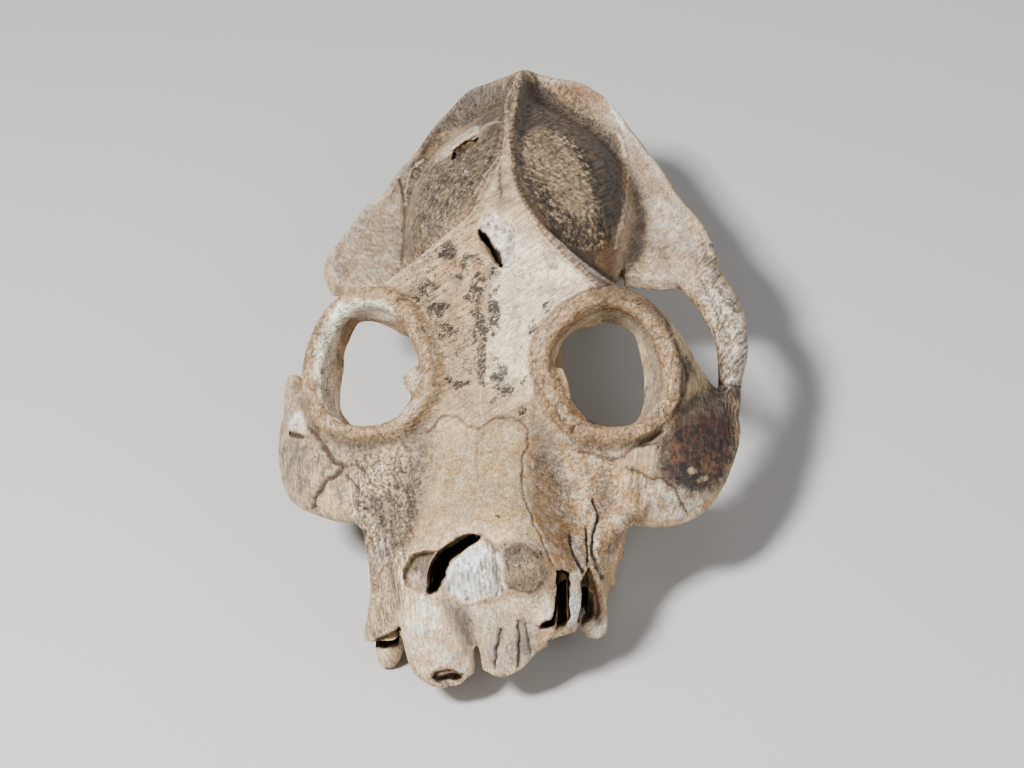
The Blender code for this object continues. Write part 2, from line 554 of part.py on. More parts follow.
def mesh_object(name, forms):
    """One mesh object of several closed forms, in metres."""
    points, faces, start = [], [], 0
    for form_points, form_faces in forms:
        points.append(form_points * MM)
        faces += [tuple(i + start for i in face) for face in form_faces]
        start += len(form_points)
    mesh = bpy.data.meshes.new(name)
    mesh.from_pydata(np.concatenate(points).tolist(), [], faces)
    obj = bpy.data.objects.new(name, mesh)
    bpy.context.scene.collection.objects.link(obj)
    return obj


def settle(obj):
    """Makes the modifiers' result the object's own mesh."""
    bpy.context.view_layer.update()
    done = bpy.data.meshes.new_from_object(obj.evaluated_get(bpy.context.evaluated_depsgraph_get()))
    obj.modifiers.clear()
    obj.data = done
    return obj


def melt(obj, size):
    modifier = obj.modifiers.new("melt", "REMESH")
    modifier.mode = "VOXEL"
    modifier.voxel_size = size * MM


def combine(obj, other, operation, solver="EXACT"):
    modifier = obj.modifiers.new(operation.lower(), "BOOLEAN")
    modifier.operation = operation
    modifier.solver = solver
    modifier.object = other
    settle(obj)
    bpy.data.objects.remove(other)
    return obj


def whole_skull():
    skull = mesh_object("skull", bone_forms())
    melt(skull, GRAIN)
    hollows = mesh_object("hollows", hollow_forms())
    melt(hollows, 0.6)
    settle(hollows)
    combine(skull, hollows, "DIFFERENCE", "MANIFOLD")
    inner = mesh_object("inner", broken_socket())
    melt(inner, 0.6)
    settle(inner)
    combine(skull, inner, "UNION", "MANIFOLD")
    melt(skull, GRAIN)
    smooth = skull.modifiers.new("smooth", "SMOOTH")
    smooth.factor = 0.5
    smooth.iterations = 6
    settle(skull)
    thin = skull.modifiers.new("thin", "DECIMATE")
    thin.ratio = TRIANGLES / (2 * len(skull.data.polygons))
    thin.use_collapse_triangulate = True
    return settle(skull)


def closed_parts(obj):
    """The separate closed surfaces of a mesh, as (volume, faces) in a bmesh that is returned with them."""
    bm = bmesh.new()
    bm.from_mesh(obj.data)
    left, parts = set(bm.faces), []
    while left:
        stack = [left.pop()]
        part = list(stack)
        while stack:
            for edge in stack.pop().edges:
                for face in edge.link_faces:
                    if face in left:
                        left.discard(face)
                        stack.append(face)
                        part.append(face)
        volume = sum(f.verts[0].co.cross(f.verts[i].co).dot(f.verts[i + 1].co) for f in part
                     for i in range(1, len(f.verts) - 1)) / 6e-9
        parts.append((volume, part))
    parts.sort(key=lambda item: -item[0])
    return bm, parts


def keep_main(obj):
    """Drops every loose crumb but the largest body."""
    bm, parts = closed_parts(obj)
    for volume, faces in parts[1:]:
        bmesh.ops.delete(bm, geom=faces, context="FACES")
    bmesh.ops.triangulate(bm, faces=bm.faces)
    bm.to_mesh(obj.data)
    bm.free()
    return obj


def copy_of(obj, name):
    twin = bpy.data.objects.new(name, obj.data.copy())
    bpy.context.scene.collection.objects.link(twin)
    return twin


def block(rows, push, grow=0.0):
    """The space that starts at a surface through rows of points and runs on from it by push.

    With grow it is that much larger on the side it starts from and at the four sides."""
    near = spline([spline(row, 3) for row in rows], 3)
    push = np.array(push, float)
    du, dv = np.gradient(near, axis=0), np.gradient(near, axis=1)
    normal = unit(np.cross(du, dv))
    if (normal @ push).sum() < 0:
        normal = -normal
    near = near - normal * grow
    near[0] -= unit(du[0]) * grow
    near[-1] += unit(du[-1]) * grow
    near[:, 0] -= unit(dv[:, 0]) * grow
    near[:, -1] += unit(dv[:, -1]) * grow
    return outward(grid_solid(near, near + push))


def carve(skull, name, rows, push):
    """Takes the bone inside a block out of the skull, and leaves a gap around it."""
    bone = copy_of(skull, name)
    combine(bone, mesh_object("in", [block(rows, push)]), "INTERSECT")
    combine(skull, mesh_object("out", [block(rows, push, GAP)]), "DIFFERENCE")
    return keep_main(bone)


def across(ys, zs, xs):
    """A surface that faces sideways: xs gives one row of x for each z, over the same ys."""
    return [[(x, y, z) for x, y in zip(row, ys)] for z, row in zip(zs, xs)]


def mirror_rows(rows):
    return [[(-x, y, z) for x, y, z in row] for row in rows]


def part_bones(skull):
    """Parts the skull along its main sutures, and returns the bones."""
    bones = []
    width = (-75, -40, -20, 0, 20, 40, 75)
    back = ((-25, 88), (15, 88.5), (28, 91), (38, 96.5), (46, 102), (54, 108), (62, 113.5), (75, 118),
        (95, 121))
    bones.append(carve(skull, "occipital", [[(x, y, z) for x in width] for z, y in back], (0, 60, 0)))

    zs = (-25, 20, 30, 40, 46, 52, 85)
    behind = (
        (28, 22, 9, 8), (26, 20, 9, 8), (25, 21.5, 13, 10), (26, 23.5, 20, 14), (29, 28.5, 26.5, 19.5),
            (31, 31, 30, 28),
        (31, 31, 31, 31),
    )
    right = across((3, 14, 25, 34, 56, 80, 112), zs, [(50, 48, 45, *row) for row in behind])
    left = across((20, 25, 34, 56, 80, 112), zs, [(46, 45, *row) for row in behind])
    bones.append(carve(skull, "temporal_left", right, (60, 0, 0)))
    bones.append(carve(skull, "temporal_right", mirror_rows(left), (-60, 0, 0)))

    zs = (-15, 12, 21, 27, 34, 38, 43, 50, 60.3)
    xs = (50, 47, 43, 37.5, 31.5, 29.5, 28, 30, 30)
    cheek_rows = across((-62, -30, -10, 18), zs, [(x,) * 4 for x in xs])
    bones.append(carve(skull, "jugal_left", cheek_rows, (60, 0, 0)))
    bones.append(carve(skull, "jugal_right", mirror_rows(cheek_rows), (-60, 0, 0)))

    xs = (-60, -34, -30, -22, -12, 0, 12, 22, 30, 34, 60)
    under = (56, 56, 52, 44.5, 39, 37, 39, 44.5, 52, 56, 56)
    rises = ((-26.5, 0), (-10, 1), (10, 2), (33, 3))
    frontal_rows = [[(x, y, z + rise) for x, z in zip(xs, under)] for y, rise in rises]
    bones.append(carve(skull, "frontal", frontal_rows, (0, 0, 60)))

    base = ((19, 38), (33, 36), (50, 31), (70, 29), (100, 27))
    base_rows = [[(x, y, z) for x in (-40, -15, 0, 15, 40)] for y, z in base]
    bones.append(carve(skull, "sphenoid", base_rows, (0, 0, -60)))
    wall = [[(x, 33, z) for x in (-60, 0, 60)] for z in (-20, 40, 100)]
    bones.append(carve(skull, "parietals", wall, (0, 120, 0)))

    front = ((-20, -56.5), (5, -56.5), (15, -57.5), (24, -60.5), (28, -62))
    front_rows = [[(x, y, z) for x in (-45, 0, 45)] for z, y in front]
    bones.append(carve(skull, "premaxillae", front_rows, (0, -40, 0)))
    roof = ((-85, 28, 30), (-60, 28, 24), (-50, 33, 12), (-38, 36, 9.5), (-26, 38, 9))
    bones.append(carve(skull, "nasals", [[(x * half, y, z) for x in (-1, 0, 1)] for y, z, half in roof],
        (0, 0, 60)))
    skull.name = "maxillae"
    bones.append(keep_main(skull))

    midline = [[(0, y, z) for z in (-25, 20, 70)] for y in (-95, -30, 40)]
    for name in ("premaxilla", "nasal", "maxilla"):
        pair = next(bone for bone in bones if bone.name.startswith(name))
        bones.remove(pair)
        bones.append(carve(pair, name + "_left", midline, (60, 0, 0)))
        pair.name = name + "_right"
        bones.append(keep_main(pair))
    return bones


def wear_flats(skull):
    """Takes off what would reach below the table that the skull stands on."""
    (y0, z0), (y1, z1) = TOOTH_REST, PROCESS_REST
    rise = (z1 - z0) / (y1 - y0)
    table = [[(x, y, z0 + rise * (y - y0) + FLAT) for x in (-90, 0, 90)] for y in (-110, 0, 160)]
    combine(skull, mesh_object("table", [block(table, (0, 0, -60))]), "DIFFERENCE")


def colour(bone):
    """Gives a bone its own material, and shades its curved faces smooth."""
    (red, green, blue), rough = BONE_LOOK[bone.name]
    material = bpy.data.materials.new(bone.name)
    material.use_nodes = True
    shader = material.node_tree.nodes["Principled BSDF"]
    shader.inputs["Base Color"].default_value = (red, green, blue, 1)
    shader.inputs["Roughness"].default_value = rough
    shader.inputs["Metallic"].default_value = 0.0
    bone.data.materials.clear()
    bone.data.materials.append(material)
    bone.data.polygons.foreach_set("use_smooth", [True] * len(bone.data.polygons))
    bone.data.set_sharp_from_angle(angle=math.radians(50))


def stand(bones):
    """Tilts the bones onto the table's plane and moves them over the origin."""
    (y0, z0), (y1, z1) = TOOTH_REST, PROCESS_REST
    turn = Matrix.Rotation(-math.atan2(z1 - z0, y1 - y0), 4, "X")
    points = np.array([turn @ v.co for bone in bones for v in bone.data.vertices])
    low, high = points.min(0), points.max(0)
    pose = bpy.data.objects.new("pose", None)
    bpy.context.scene.collection.objects.link(pose)
    pose.rotation_euler = turn.to_euler()
    pose.location = (-(low[0] + high[0]) / 2, -(low[1] + high[1]) / 2, -low[2])
    for bone in bones:
        bone.parent = pose
    return pose


for stale in list(bpy.data.objects):
    bpy.data.objects.remove(stale)
skull = whole_skull()
wear_flats(skull)
bones = part_bones(skull)
for bone in bones:
    colour(bone)
stand(bones)
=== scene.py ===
"""Skull of a large sloth lemur, without its lower jaw: the looks.

The bone is built again from the same forms as its solids, much finer, and is parted into the same bones.
Breaks, sutures, grain and stains are then laid on it, and painted shade and painted light. Shapes are set
out in millimetres in the skull's own frame, X to the skull's left, Y backwards from the snout and Z up from
the plane of the teeth. Markings are set out in pixels of the photo and go onto the bone that the photo's
camera sees there.
"""
import math

import bpy
import numpy as np
from mathutils import Euler, Matrix, Vector
from mathutils.bvhtree import BVHTree


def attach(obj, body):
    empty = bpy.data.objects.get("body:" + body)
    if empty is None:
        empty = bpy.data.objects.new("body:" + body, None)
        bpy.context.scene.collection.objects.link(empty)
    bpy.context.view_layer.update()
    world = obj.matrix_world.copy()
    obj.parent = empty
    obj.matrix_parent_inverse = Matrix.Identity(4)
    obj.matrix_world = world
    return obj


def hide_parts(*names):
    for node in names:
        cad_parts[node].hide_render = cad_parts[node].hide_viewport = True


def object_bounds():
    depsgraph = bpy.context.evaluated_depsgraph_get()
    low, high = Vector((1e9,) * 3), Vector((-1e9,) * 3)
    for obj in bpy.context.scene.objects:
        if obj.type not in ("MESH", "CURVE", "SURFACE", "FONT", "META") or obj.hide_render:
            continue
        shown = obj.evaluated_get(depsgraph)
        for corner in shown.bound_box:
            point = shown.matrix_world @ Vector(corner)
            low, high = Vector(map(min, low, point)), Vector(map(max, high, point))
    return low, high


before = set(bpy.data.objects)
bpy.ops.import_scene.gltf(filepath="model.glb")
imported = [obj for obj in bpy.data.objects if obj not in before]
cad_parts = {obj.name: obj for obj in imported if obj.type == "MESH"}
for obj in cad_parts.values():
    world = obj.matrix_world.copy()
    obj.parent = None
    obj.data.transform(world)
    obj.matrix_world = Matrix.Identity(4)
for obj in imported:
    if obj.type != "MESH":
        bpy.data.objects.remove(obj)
CAD_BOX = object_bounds()

MM = 0.001  # the outlines below are in millimetres, the meshes in metres
GRAIN = 0.42  # mm, size of the mesh's faces
# Where the skull rests, on its teeth and on the processes behind the ears: how far back and how high, in mm
TOOTH_REST, PROCESS_REST = (10.0, 0.6), (97.5, 9.4)
# By which the skull's own frame leans forward as it rests
TILT = math.atan2(PROCESS_REST[1] - TOOTH_REST[1], PROCESS_REST[0] - TOOTH_REST[0])
SHIFT = (-1.614, -30.972, -0.094)  # mm, where the frame's origin then is
VIEW = {"height": 35.0, "side": 8.2, "roll": -5.0, "distance": 605.0, "target": (1.9, 0.0, 40.0)}
WIDTH, HEIGHT, LENS, SENSOR = 1024, 768, 85.0, 36.0


def spline(points, spans, closed=False):
    """A smooth curve through points, with spans steps from each point to the next."""
    p = np.array(points, float)
    if closed:
        p = np.concatenate([p[-1:], p, p[:2]])
    else:
        p = np.concatenate([[2 * p[0] - p[1]], p, [2 * p[-1] - p[-2]]])
    t = (np.arange(spans) / spans).reshape((-1,) + (1,) * (p.ndim - 1))
    out = []
    for a, b, c, d in zip(p, p[1:], p[2:], p[3:]):
        bend, twist = 2 * a - 5 * b + 4 * c - d, 3 * b - a - 3 * c + d
        out.append(0.5 * (2 * b + (c - a) * t + bend * t**2 + twist * t**3))
    curve = np.concatenate(out)
    return curve if closed else np.concatenate([curve, p[-2:-1]])


def grid_solid(near, far, closed=False):
    """One closed solid between two grids of points, near and far, whose rims are joined by walls."""
    rows, cols = near.shape[:2]
    points = np.concatenate([near.reshape(-1, 3), far.reshape(-1, 3)])
    other = rows * cols
    faces = []
    last = rows if closed else rows - 1
    for i in range(last):
        k = (i + 1) % rows
        for j in range(cols - 1):
            a, b, c, d = i * cols + j, k * cols + j, k * cols + j + 1, i * cols + j + 1
            faces.append((a, b, c, d))
            faces.append((other + d, other + c, other + b, other + a))
        for j, turn in ((0, 1), (cols - 1, -1)):
            wall = (i * cols + j, other + i * cols + j, other + k * cols + j, k * cols + j)
            faces.append(wall[::turn])
    if not closed:
        for i, turn in ((0, -1), (rows - 1, 1)):
            for j in range(cols - 1):
                wall = (i * cols + j, other + i * cols + j, other + i * cols + j + 1, i * cols + j + 1)
                faces.append(wall[::turn])
    return points, faces


def skin_of_rings(rings, closed=False):
    """A tube over a list of rings of points, capped at both ends unless it is closed on itself."""
    rings = np.array(rings)
    count, sides = rings.shape[:2]
    faces = []
    for i in range(count if closed else count - 1):
        k = (i + 1) % count
        for j in range(sides):
            m = (j + 1) % sides
            faces.append((i * sides + j, i * sides + m, k * sides + m, k * sides + j))
    if not closed:
        faces.append(tuple(range(sides))[::-1])
        faces.append(tuple((count - 1) * sides + j for j in range(sides)))
    return rings.reshape(-1, 3), faces


def unit(v):
    """The same directions, each 1 long."""
    return v / np.maximum(np.linalg.norm(v, axis=-1, keepdims=True), 1e-12)


def rod(path, radii, up=(0, 0, 1), closed=False, spans=6, sides=14):
    """A bar along path, oval across: radii gives half its width and half its height at each point."""
    line = spline(path, spans, closed)
    size = spline([r if np.ndim(r) else (r, r) for r in radii], spans, closed)
    ahead = unit(np.roll(line, -1, 0) - np.roll(line, 1, 0)) if closed else unit(np.gradient(line, axis=0))
    side = unit(np.cross(ahead, np.array(up, float)))
    top = np.cross(side, ahead)
    turn = np.linspace(0, 2 * np.pi, sides, endpoint=False)
    cos, sin = np.cos(turn)[:, None], np.sin(turn)[:, None]
    rings = [p + s * cos * r[0] + t * sin * r[1] for p, s, t, r in zip(line, side, top, size)]
    return skin_of_rings(rings, closed)


def loft(stations, spans=4):
    """A body along Y, alike on both sides. Each station is y and half its outline as (x, z) from the top."""
    halves = []
    for y, outline in stations:
        half = np.array([(x, y, z) for x, z in outline], float)
        halves.append(np.concatenate([half, half[-2:0:-1] * (-1, 1, 1)]))
    along = spline(halves, spans)
    return skin_of_rings([spline(ring, 3, closed=True) for ring in along])


def sheet(rows, above, below, facing=(0, -0.5, 1), spans=4):
    """A curved plate through rows of points, which reaches above them on the side it faces, and below."""
    mid = spline([spline(row, spans) for row in rows], spans)
    du, dv = np.gradient(mid, axis=0), np.gradient(mid, axis=1)
    normal = unit(np.cross(dv, du))
    if (normal @ np.array(facing)).sum() < 0:
        normal = -normal
    return grid_solid(mid + normal * above, mid - normal * below)


def ball(centre, radii, turn=(0, 0, 0)):
    """An ellipsoid, turned about X, Y and Z by these angles in degrees."""
    rings = []
    around = np.linspace(0, 2 * np.pi, 20, endpoint=False)
    for tilt in np.linspace(0.02, np.pi - 0.02, 13):
        circle = [np.cos(around) * np.sin(tilt), np.sin(around) * np.sin(tilt), np.full(20, np.cos(tilt))]
        rings.append(np.stack(circle, 1) * radii)
    points, faces = skin_of_rings(rings[::-1])
    matrix = np.array(Euler([math.radians(a) for a in turn]).to_matrix())
    return points @ matrix.T + centre, faces


def mirrored(form):
    """The same form on the other side of the skull."""
    points, faces = form
    return points * (-1, 1, 1), [f[::-1] for f in faces]


def both(*forms):
    """Forms of the left side, with their twins on the right."""
    return [*forms, *map(mirrored, forms)]


LEAN = 4.6  # mm, by which the back of the braincase is bent to the skull's right
# Each orbit's centre, left and right, and the shape of its round rim: mean radius, four numbers for how far
# it departs from a circle, and how far it bulges at the upper inner side
ORBITS = {
    1: ((28.0, -13.1, 54.0), (16.2, -0.8, 0.1, -0.3, -0.2, 1.5)),
    -1: ((-30.8, -12.4, 53.7), (16.5, -0.5, 0.2, -0.7, -0.3, -1.0)),
}
BULGE_AT, BULGE_WIDTH = 150.0, 24.0  # degrees
RIM_OUT = (0.938, 0.346, 0.0)
RIM_UP = (-0.226, 0.612, 0.758)
RIM_BACK = (-0.262, 0.711, -0.653)
# y of the middle, length, width, and how far each cheek tooth stands out, from the front one back
CHEEK_TEETH = (
    (-38.5, 9.5, 5.5, 23.6), (-29, 9, 7, 24.4), (-16.5, 14.5, 9.5, 24.5), (-1.5, 14, 9, 23),
    (10, 8, 6.5, 21.5),
)
# Maxillae, nasals and palate, from the nose tip back: y, and half the outline as x and z from the top
MUZZLE = (
    (-66, ((0, 33.5), (7, 34.5), (12, 32), (15, 26), (16.5, 20), (15, 14), (10, 11), (5, 11), (0, 12))),
    (-61, ((0, 38.6), (8, 39.2), (14, 35.8), (19, 28.5), (22.5, 20), (21.5, 12), (15, 8), (8, 9), (0, 11))),
    (-54, ((0, 40.6), (9, 40.4), (14.5, 36.5), (21, 29), (25.5, 21), (26, 11), (19, 5.5), (11, 9), (0, 12))),
    (-45, (
        (0, 41.5), (9, 40.5), (14.5, 36), (20, 30.5), (26.5, 23), (28, 12), (23.5, 6), (14, 10), (0, 13.5),
    )),
    (-35, ((0, 43), (9, 42), (14, 37.5), (20, 32), (28.5, 25.5), (30, 14), (26, 6), (17, 11), (0, 14.5))),
    (-25, (
        (0, 46), (9, 45), (13.5, 40.5), (20, 35.5), (29, 28.5), (31.5, 16.5), (27.5, 6.5), (18, 11.5),
        (0, 15),
    )),
    (-13, ((0, 50), (8, 48), (11, 42), (17, 35), (26, 30), (30.5, 19), (28.5, 7), (18, 12), (0, 15.5))),
    (-1, (
        (0, 48), (8, 46), (10, 40), (14.5, 33), (22.5, 28.4), (28.5, 19.5), (27.5, 8), (17.5, 12.5), (0, 16),
    )),
    (9, ((0, 46), (7, 44), (8.2, 38), (9.8, 31), (15, 24.6), (22, 19.5), (24, 10), (16, 13), (0, 16.5))),
    (17, ((0, 44), (6, 42), (7.2, 37), (8.2, 30), (10, 23), (14, 18), (14.5, 14.5), (11, 13.5), (0, 17))),
)
# The wall between the orbits, which swells into the neck behind them
PILLAR = (
    (-30, ((0, 43.5), (8, 43), (11, 37), (11, 30), (0, 27))),
    (-18, ((0, 50), (9, 50), (10.5, 42), (11, 31), (0, 27))),
    (-6, ((0, 58), (10, 58), (9, 47), (9.8, 33), (0, 26))),
    (6, ((0, 67), (10, 65), (8.8, 52), (8.6, 36), (0, 26))),
    (18, ((0, 74), (9.5, 70), (10.5, 56), (8.4, 38), (0, 26))),
    (30, ((0, 77), (9.5, 71), (16.5, 57), (11.5, 42), (0, 28))),
    (44, ((0, 76), (11, 70), (24, 57), (21, 41), (0, 28))),
)
# The brow's upper plate: rows of points from the midline out, from the front back
BROW = (
    ((0, -27, 45.3), (7, -27, 45), (14, -26, 44), (20, -27, 41)),
    ((0, -15, 54), (6, -15, 54), (11, -15, 55), (15, -15.5, 56)),
    ((0, -5, 61.3), (8, -6, 61.5), (14.5, -7.5, 62.5), (19.5, -6, 65)),
    ((0, 3, 67.3), (9, 2.5, 67), (18, 1.5, 67.2), (27.5, 0.2, 68.3)),
    ((0, 12, 74), (7, 11, 73.3), (13.5, 8.8, 72.3), (20, 6, 71.5)),
    ((0, 21, 77.8), (3.4, 20, 77.6), (6.6, 18.8, 76.9), (9.8, 17, 75.8)),
    ((0, 34, 79.4), (0.9, 33, 79.2), (1.8, 32, 78.8), (2.6, 31, 78.4)),
)
# The raised edge of the brow, and the top of the crest that it becomes
BROW_EDGE = (
    (29, 0.5, 66.8), (24.5, 3.6, 68.6), (19.5, 7.2, 70.8), (14.5, 11.5, 73.2), (9.4, 17, 75.2),
    (5.4, 24, 76.9), (2.4, 33, 77.6), (0.9, 48, 76.6),
)
CREST = (
    (0, 22, 77.8), (0, 32, 79.3), (0, 44, 78.8), (0, 60, 77.8), (0, 82, 75), (0, 102, 70.5), (0, 116, 66),
    (0, 125, 61.5),
)
BRAINCASE = (
    (24, ((0, 77), (7, 72), (11, 64), (13, 53), (9, 41), (0, 28))),
    (40, ((0, 76), (10, 71.5), (20.5, 64), (25, 51), (20, 38), (0, 28))),
    (56, ((0, 74), (11, 70), (24, 62), (29.5, 49), (26, 34), (0, 25))),
    (72, ((0, 72), (11, 68.5), (24, 61), (30.5, 48), (27, 32), (0, 23))),
    (88, ((0, 69), (10, 65.5), (22, 58), (29, 46), (26, 30), (0, 21))),
    (102, ((0, 65), (9, 61), (19, 54), (26, 43), (23, 28), (0, 20))),
    (114, ((0, 59), (8, 55), (16, 48), (21, 38), (18, 27), (0, 24))),
)
# The ledge's outer edge and the place where it leaves the braincase, from the back forward. The skull's
# right side is broken off where the arch began, and both edges are chipped.
LEDGE_LEFT = (
    ((-4.6, 125, 61.5), (-4, 113, 58)), ((3.5, 121.2, 60.5), (2, 111.5, 57)),
    ((11.4, 122.4, 58), (8, 109, 54.5)), ((18.8, 118, 55.5), (13, 104, 50.5)),
    ((25.6, 107.6, 52.8), (18, 97, 47)), ((31.2, 97.2, 50.8), (22, 90, 44.5)),
    ((36.3, 87.7, 49.5), (24.5, 82, 43.5)), ((40.7, 76.5, 48.5), (25.5, 71, 42.5)),
    ((48.2, 62.2, 47), (27, 59, 42)), ((52, 49, 45), (27.5, 50.5, 42)),
    ((49.2, 42.5, 43.5), (27.5, 44.8, 42)),
)
LEDGE_RIGHT = (
    ((-4.6, 125, 61.5), (-4, 113, 58)), ((-12.8, 120.5, 60), (-10, 110, 56)),
    ((-20.4, 120.7, 57), (-15, 106, 52)), ((-26.3, 112.8, 54), (-20, 99, 48)),
    ((-30.2, 107.4, 51.8), (-24, 94, 46)), ((-33.4, 98.6, 50.3), (-26.5, 88, 44.5)),
    ((-38.4, 88.4, 49), (-28.5, 81, 43.5)), ((-40.8, 78.5, 48.3), (-29.5, 73, 43)),
    ((-45.6, 71.6, 47.3), (-30.5, 66, 42.5)), ((-49.5, 60, 46), (-30.5, 58, 42)),
    ((-52.8, 48.6, 45), (-30.5, 49.5, 41.8)), ((-49.2, 39.4, 43.5), (-31.5, 42, 42)),
)
# The plate under an orbit: rows from the orbit's rim down, each from the front back
CHEEK = (
    ((22.5, -26, 38.2), (33, -25.4, 38), (41, -19.5, 40), (44, -8, 45), (41, 0.6, 53), (37.8, 3, 59)),
    ((26.5, -33, 31.6), (37, -32, 31.4), (46.5, -24, 33), (50.3, -9, 38), (45.8, 0.9, 46), (40, 6.2, 53.5)),
    (
        (29.5, -35.4, 27), (41, -33, 26.4), (51.2, -23, 27.6), (55.8, -6.8, 32), (49.2, 0.6, 39),
        (42.2, 4.8, 46.6),
    ),
    (
        (31, -34.4, 24.4), (43, -31, 23.8), (52.7, -22.4, 23.4), (57.3, -6.4, 29.2), (54.4, -1.2, 33),
        (46.8, 0.2, 37.5),
    ),
)
# The slope between nose and cheek: rows from the orbit's rim down to the teeth, each from the nose out
FACE = (
    ((7, -24.5, 46.5), (14, -24, 45), (21, -24.5, 43.2), (28, -24.5, 41.5), (35, -23, 40.5)),
    ((8, -33, 43.2), (14, -32.5, 40), (21, -33, 36), (28, -33.2, 33), (37, -31, 31.5)),
    ((9, -39, 41.6), (14.5, -38.5, 37.2), (21, -39, 32), (27, -38.8, 28.5), (33, -36.5, 26)),
    ((9.5, -46, 40.4), (15, -46, 35.5), (21, -46.5, 29.5), (26, -46, 24), (29.5, -44.5, 17)),
    ((9.5, -54, 39), (15, -54.5, 34), (20, -55, 28), (24.5, -54.5, 20.5), (26.5, -53.5, 11)),
)
# The front of the face: rows from the nose down to the lobes' lower ends, each from right to left
NOSE_TIP = (
    (
        (-19, -52, 33), (-13.5, -53, 37), (-6, -54, 39), (0, -55, 39.6),
        (5, -57, 39.8), (10, -58.5, 39.4), (15, -57, 36.5), (19.5, -54, 30),
    ),
    (
        (-20.5, -59, 34), (-15, -62.8, 36), (-9, -61, 36), (-4, -60.5, 36), (0.5, -62, 36.5),
        (5, -65.5, 37.5), (10.5, -67.4, 37), (15.2, -65.5, 35.5), (19.5, -59.5, 30),
    ),
    (
        (-21.5, -60, 29.5), (-17.5, -64.8, 31.5), (-12.5, -64.8, 31), (-7, -62.5, 31), (-2, -63.6, 31),
        (3.5, -65.4, 31.5), (9.5, -67.6, 31.5), (14.8, -66.4, 31), (20, -60.5, 26),
    ),
    (
        (-22.5, -60.5, 24), (-18.3, -65, 26), (-13, -66.6, 25.5), (-7.5, -65.4, 25.2), (-2.3, -64.2, 25.2),
        (3.5, -64.9, 25.6), (9, -66.7, 26), (14.5, -65.6, 25.5), (20.5, -60.5, 22),
    ),
    (
        (-22.5, -61, 17.5), (-18.2, -66.6, 18.5), (-12.5, -69, 18), (-7.3, -68, 18), (-2.5, -65.6, 18.6),
        (2, -66, 19), (8, -66.8, 20), (14, -65.4, 20), (20, -61.5, 19),
    ),
    (
        (-21, -61.5, 11), (-17.8, -67.2, 11.5), (-12.4, -70, 11), (-7.2, -69.8, 11), (-3, -67.4, 12.5),
        (0.6, -67.4, 12.5), (5, -68.2, 13), (11, -66.4, 14), (17, -62, 15.5),
    ),
    (
        (-20, -63.5, 4.5), (-17.4, -68, 3.2), (-12.5, -70.6, 1.8), (-7.6, -70.6, 2), (-3.6, -68.6, 4.5),
        (-0.8, -68.2, 5.2), (3.2, -69.4, 4.2), (8, -68.6, 6), (13, -65.5, 10.5),
    ),
)


def leaning(forms):
    """Bends forms to the side towards the back, as the braincase of this skull is."""
    bent = []
    for points, faces in forms:
        back = np.clip((points[:, 1] - 30) / 92, 0, None)
        bent.append((points - np.outer(LEAN * back, (1, 0, 0)), faces))
    return bent


def rim(side, degrees, behind=0.0, inset=0.0):
    """Points round an orbit: 0 is the outer side, 90 the top. behind and inset go back and inwards."""
    centre, (mean, wide, skew, point, turn, bulge) = ORBITS[side]
    t = np.radians(degrees)
    radius = mean + wide * np.cos(2 * t) + skew * np.sin(2 * t) - inset
    radius = radius + point * np.cos(3 * t) + turn * np.sin(3 * t)
    radius = radius + bulge * np.exp(-(((np.asarray(degrees) - BULGE_AT) / BULGE_WIDTH) ** 2))
    flip = np.array((side, 1, 1))
    across, up, back = (np.array(axis) * flip for axis in (RIM_OUT, RIM_UP, RIM_BACK))
    on_rim = np.outer(radius * np.cos(t), across) + np.outer(radius * np.sin(t), up)
    return centre + on_rim + np.outer(behind + 0 * t, back)


def brow():
    """The frontal's upper plate, spread from orbit to orbit and drawn together where the crest begins."""
    rows = [[(-x, y, z) for x, y, z in row[:0:-1]] + list(row) for row in BROW]
    rows[1][-1], rows[2][-1] = (13.2, -15.2, 55.4), (18.2, -6.4, 64.4)
    return [sheet(rows, 0.0, 5.0)]


def temporal_lines():
    """The raised edge of the brow on each side, which runs back and meets its fellow as the crest."""
    line = [(x, y, z - 1.2) for x, y, z in BROW_EDGE]
    return leaning(both(rod(line, [(1.4, 3.0)] * len(line))))


def sagittal_crest():
    """The ridge along the top of the braincase."""
    drop = 4.0
    path = [(x, y, z - drop) for x, y, z in CREST]
    return leaning([rod(path, [(1.5, drop)] * len(path))])


def nuchal_shelf():
    """The nuchal crest, which runs on as the ledge over the ear and the root of the cheek arch."""
    plates = []
    for side in (LEDGE_LEFT, LEDGE_RIGHT):
        rows = [(edge, tuple(0.5 * (np.array(edge) + root) - (0, 0, 1.3)), root) for edge, root in side]
        plates.append(sheet(rows, 1.7, 2.9))
        lip = [np.array(edge) + 1.6 * unit(np.array(root, float) - edge) for edge, root in side]
        plates.append(rod(lip, [(1.5, 2.2)] * len(lip), spans=4))
    return plates


def temporal_base():
    """The parts under the ledge: mastoid, ear tube, petrous swelling and the postglenoid process."""
    return leaning(both(
        ball((24, 86, 37), (11, 17, 13)),
        ball((16, 74, 26.5), (8, 13, 7.5), (0, 0, 12)),
        rod(((17, 75, 28), (26, 73, 33), (36, 71.5, 38)), (5, 4.6, 4.6)),
        rod(((28, 61, 42), (29, 62.5, 36), (29, 63, 31)), ((6, 3.6), (5.5, 3.2), (3.4, 2.4)), up=(0, 1, 0)),
        rod(((21, 95, 36), (24, 97, 22), (25, 97.5, 9.4)), ((7, 7), (5, 5.5), (2.6, 3.4)), up=(0, 1, 0)),
        ball((38, 51.5, 40.5), (11, 8, 3.6)),
    ))


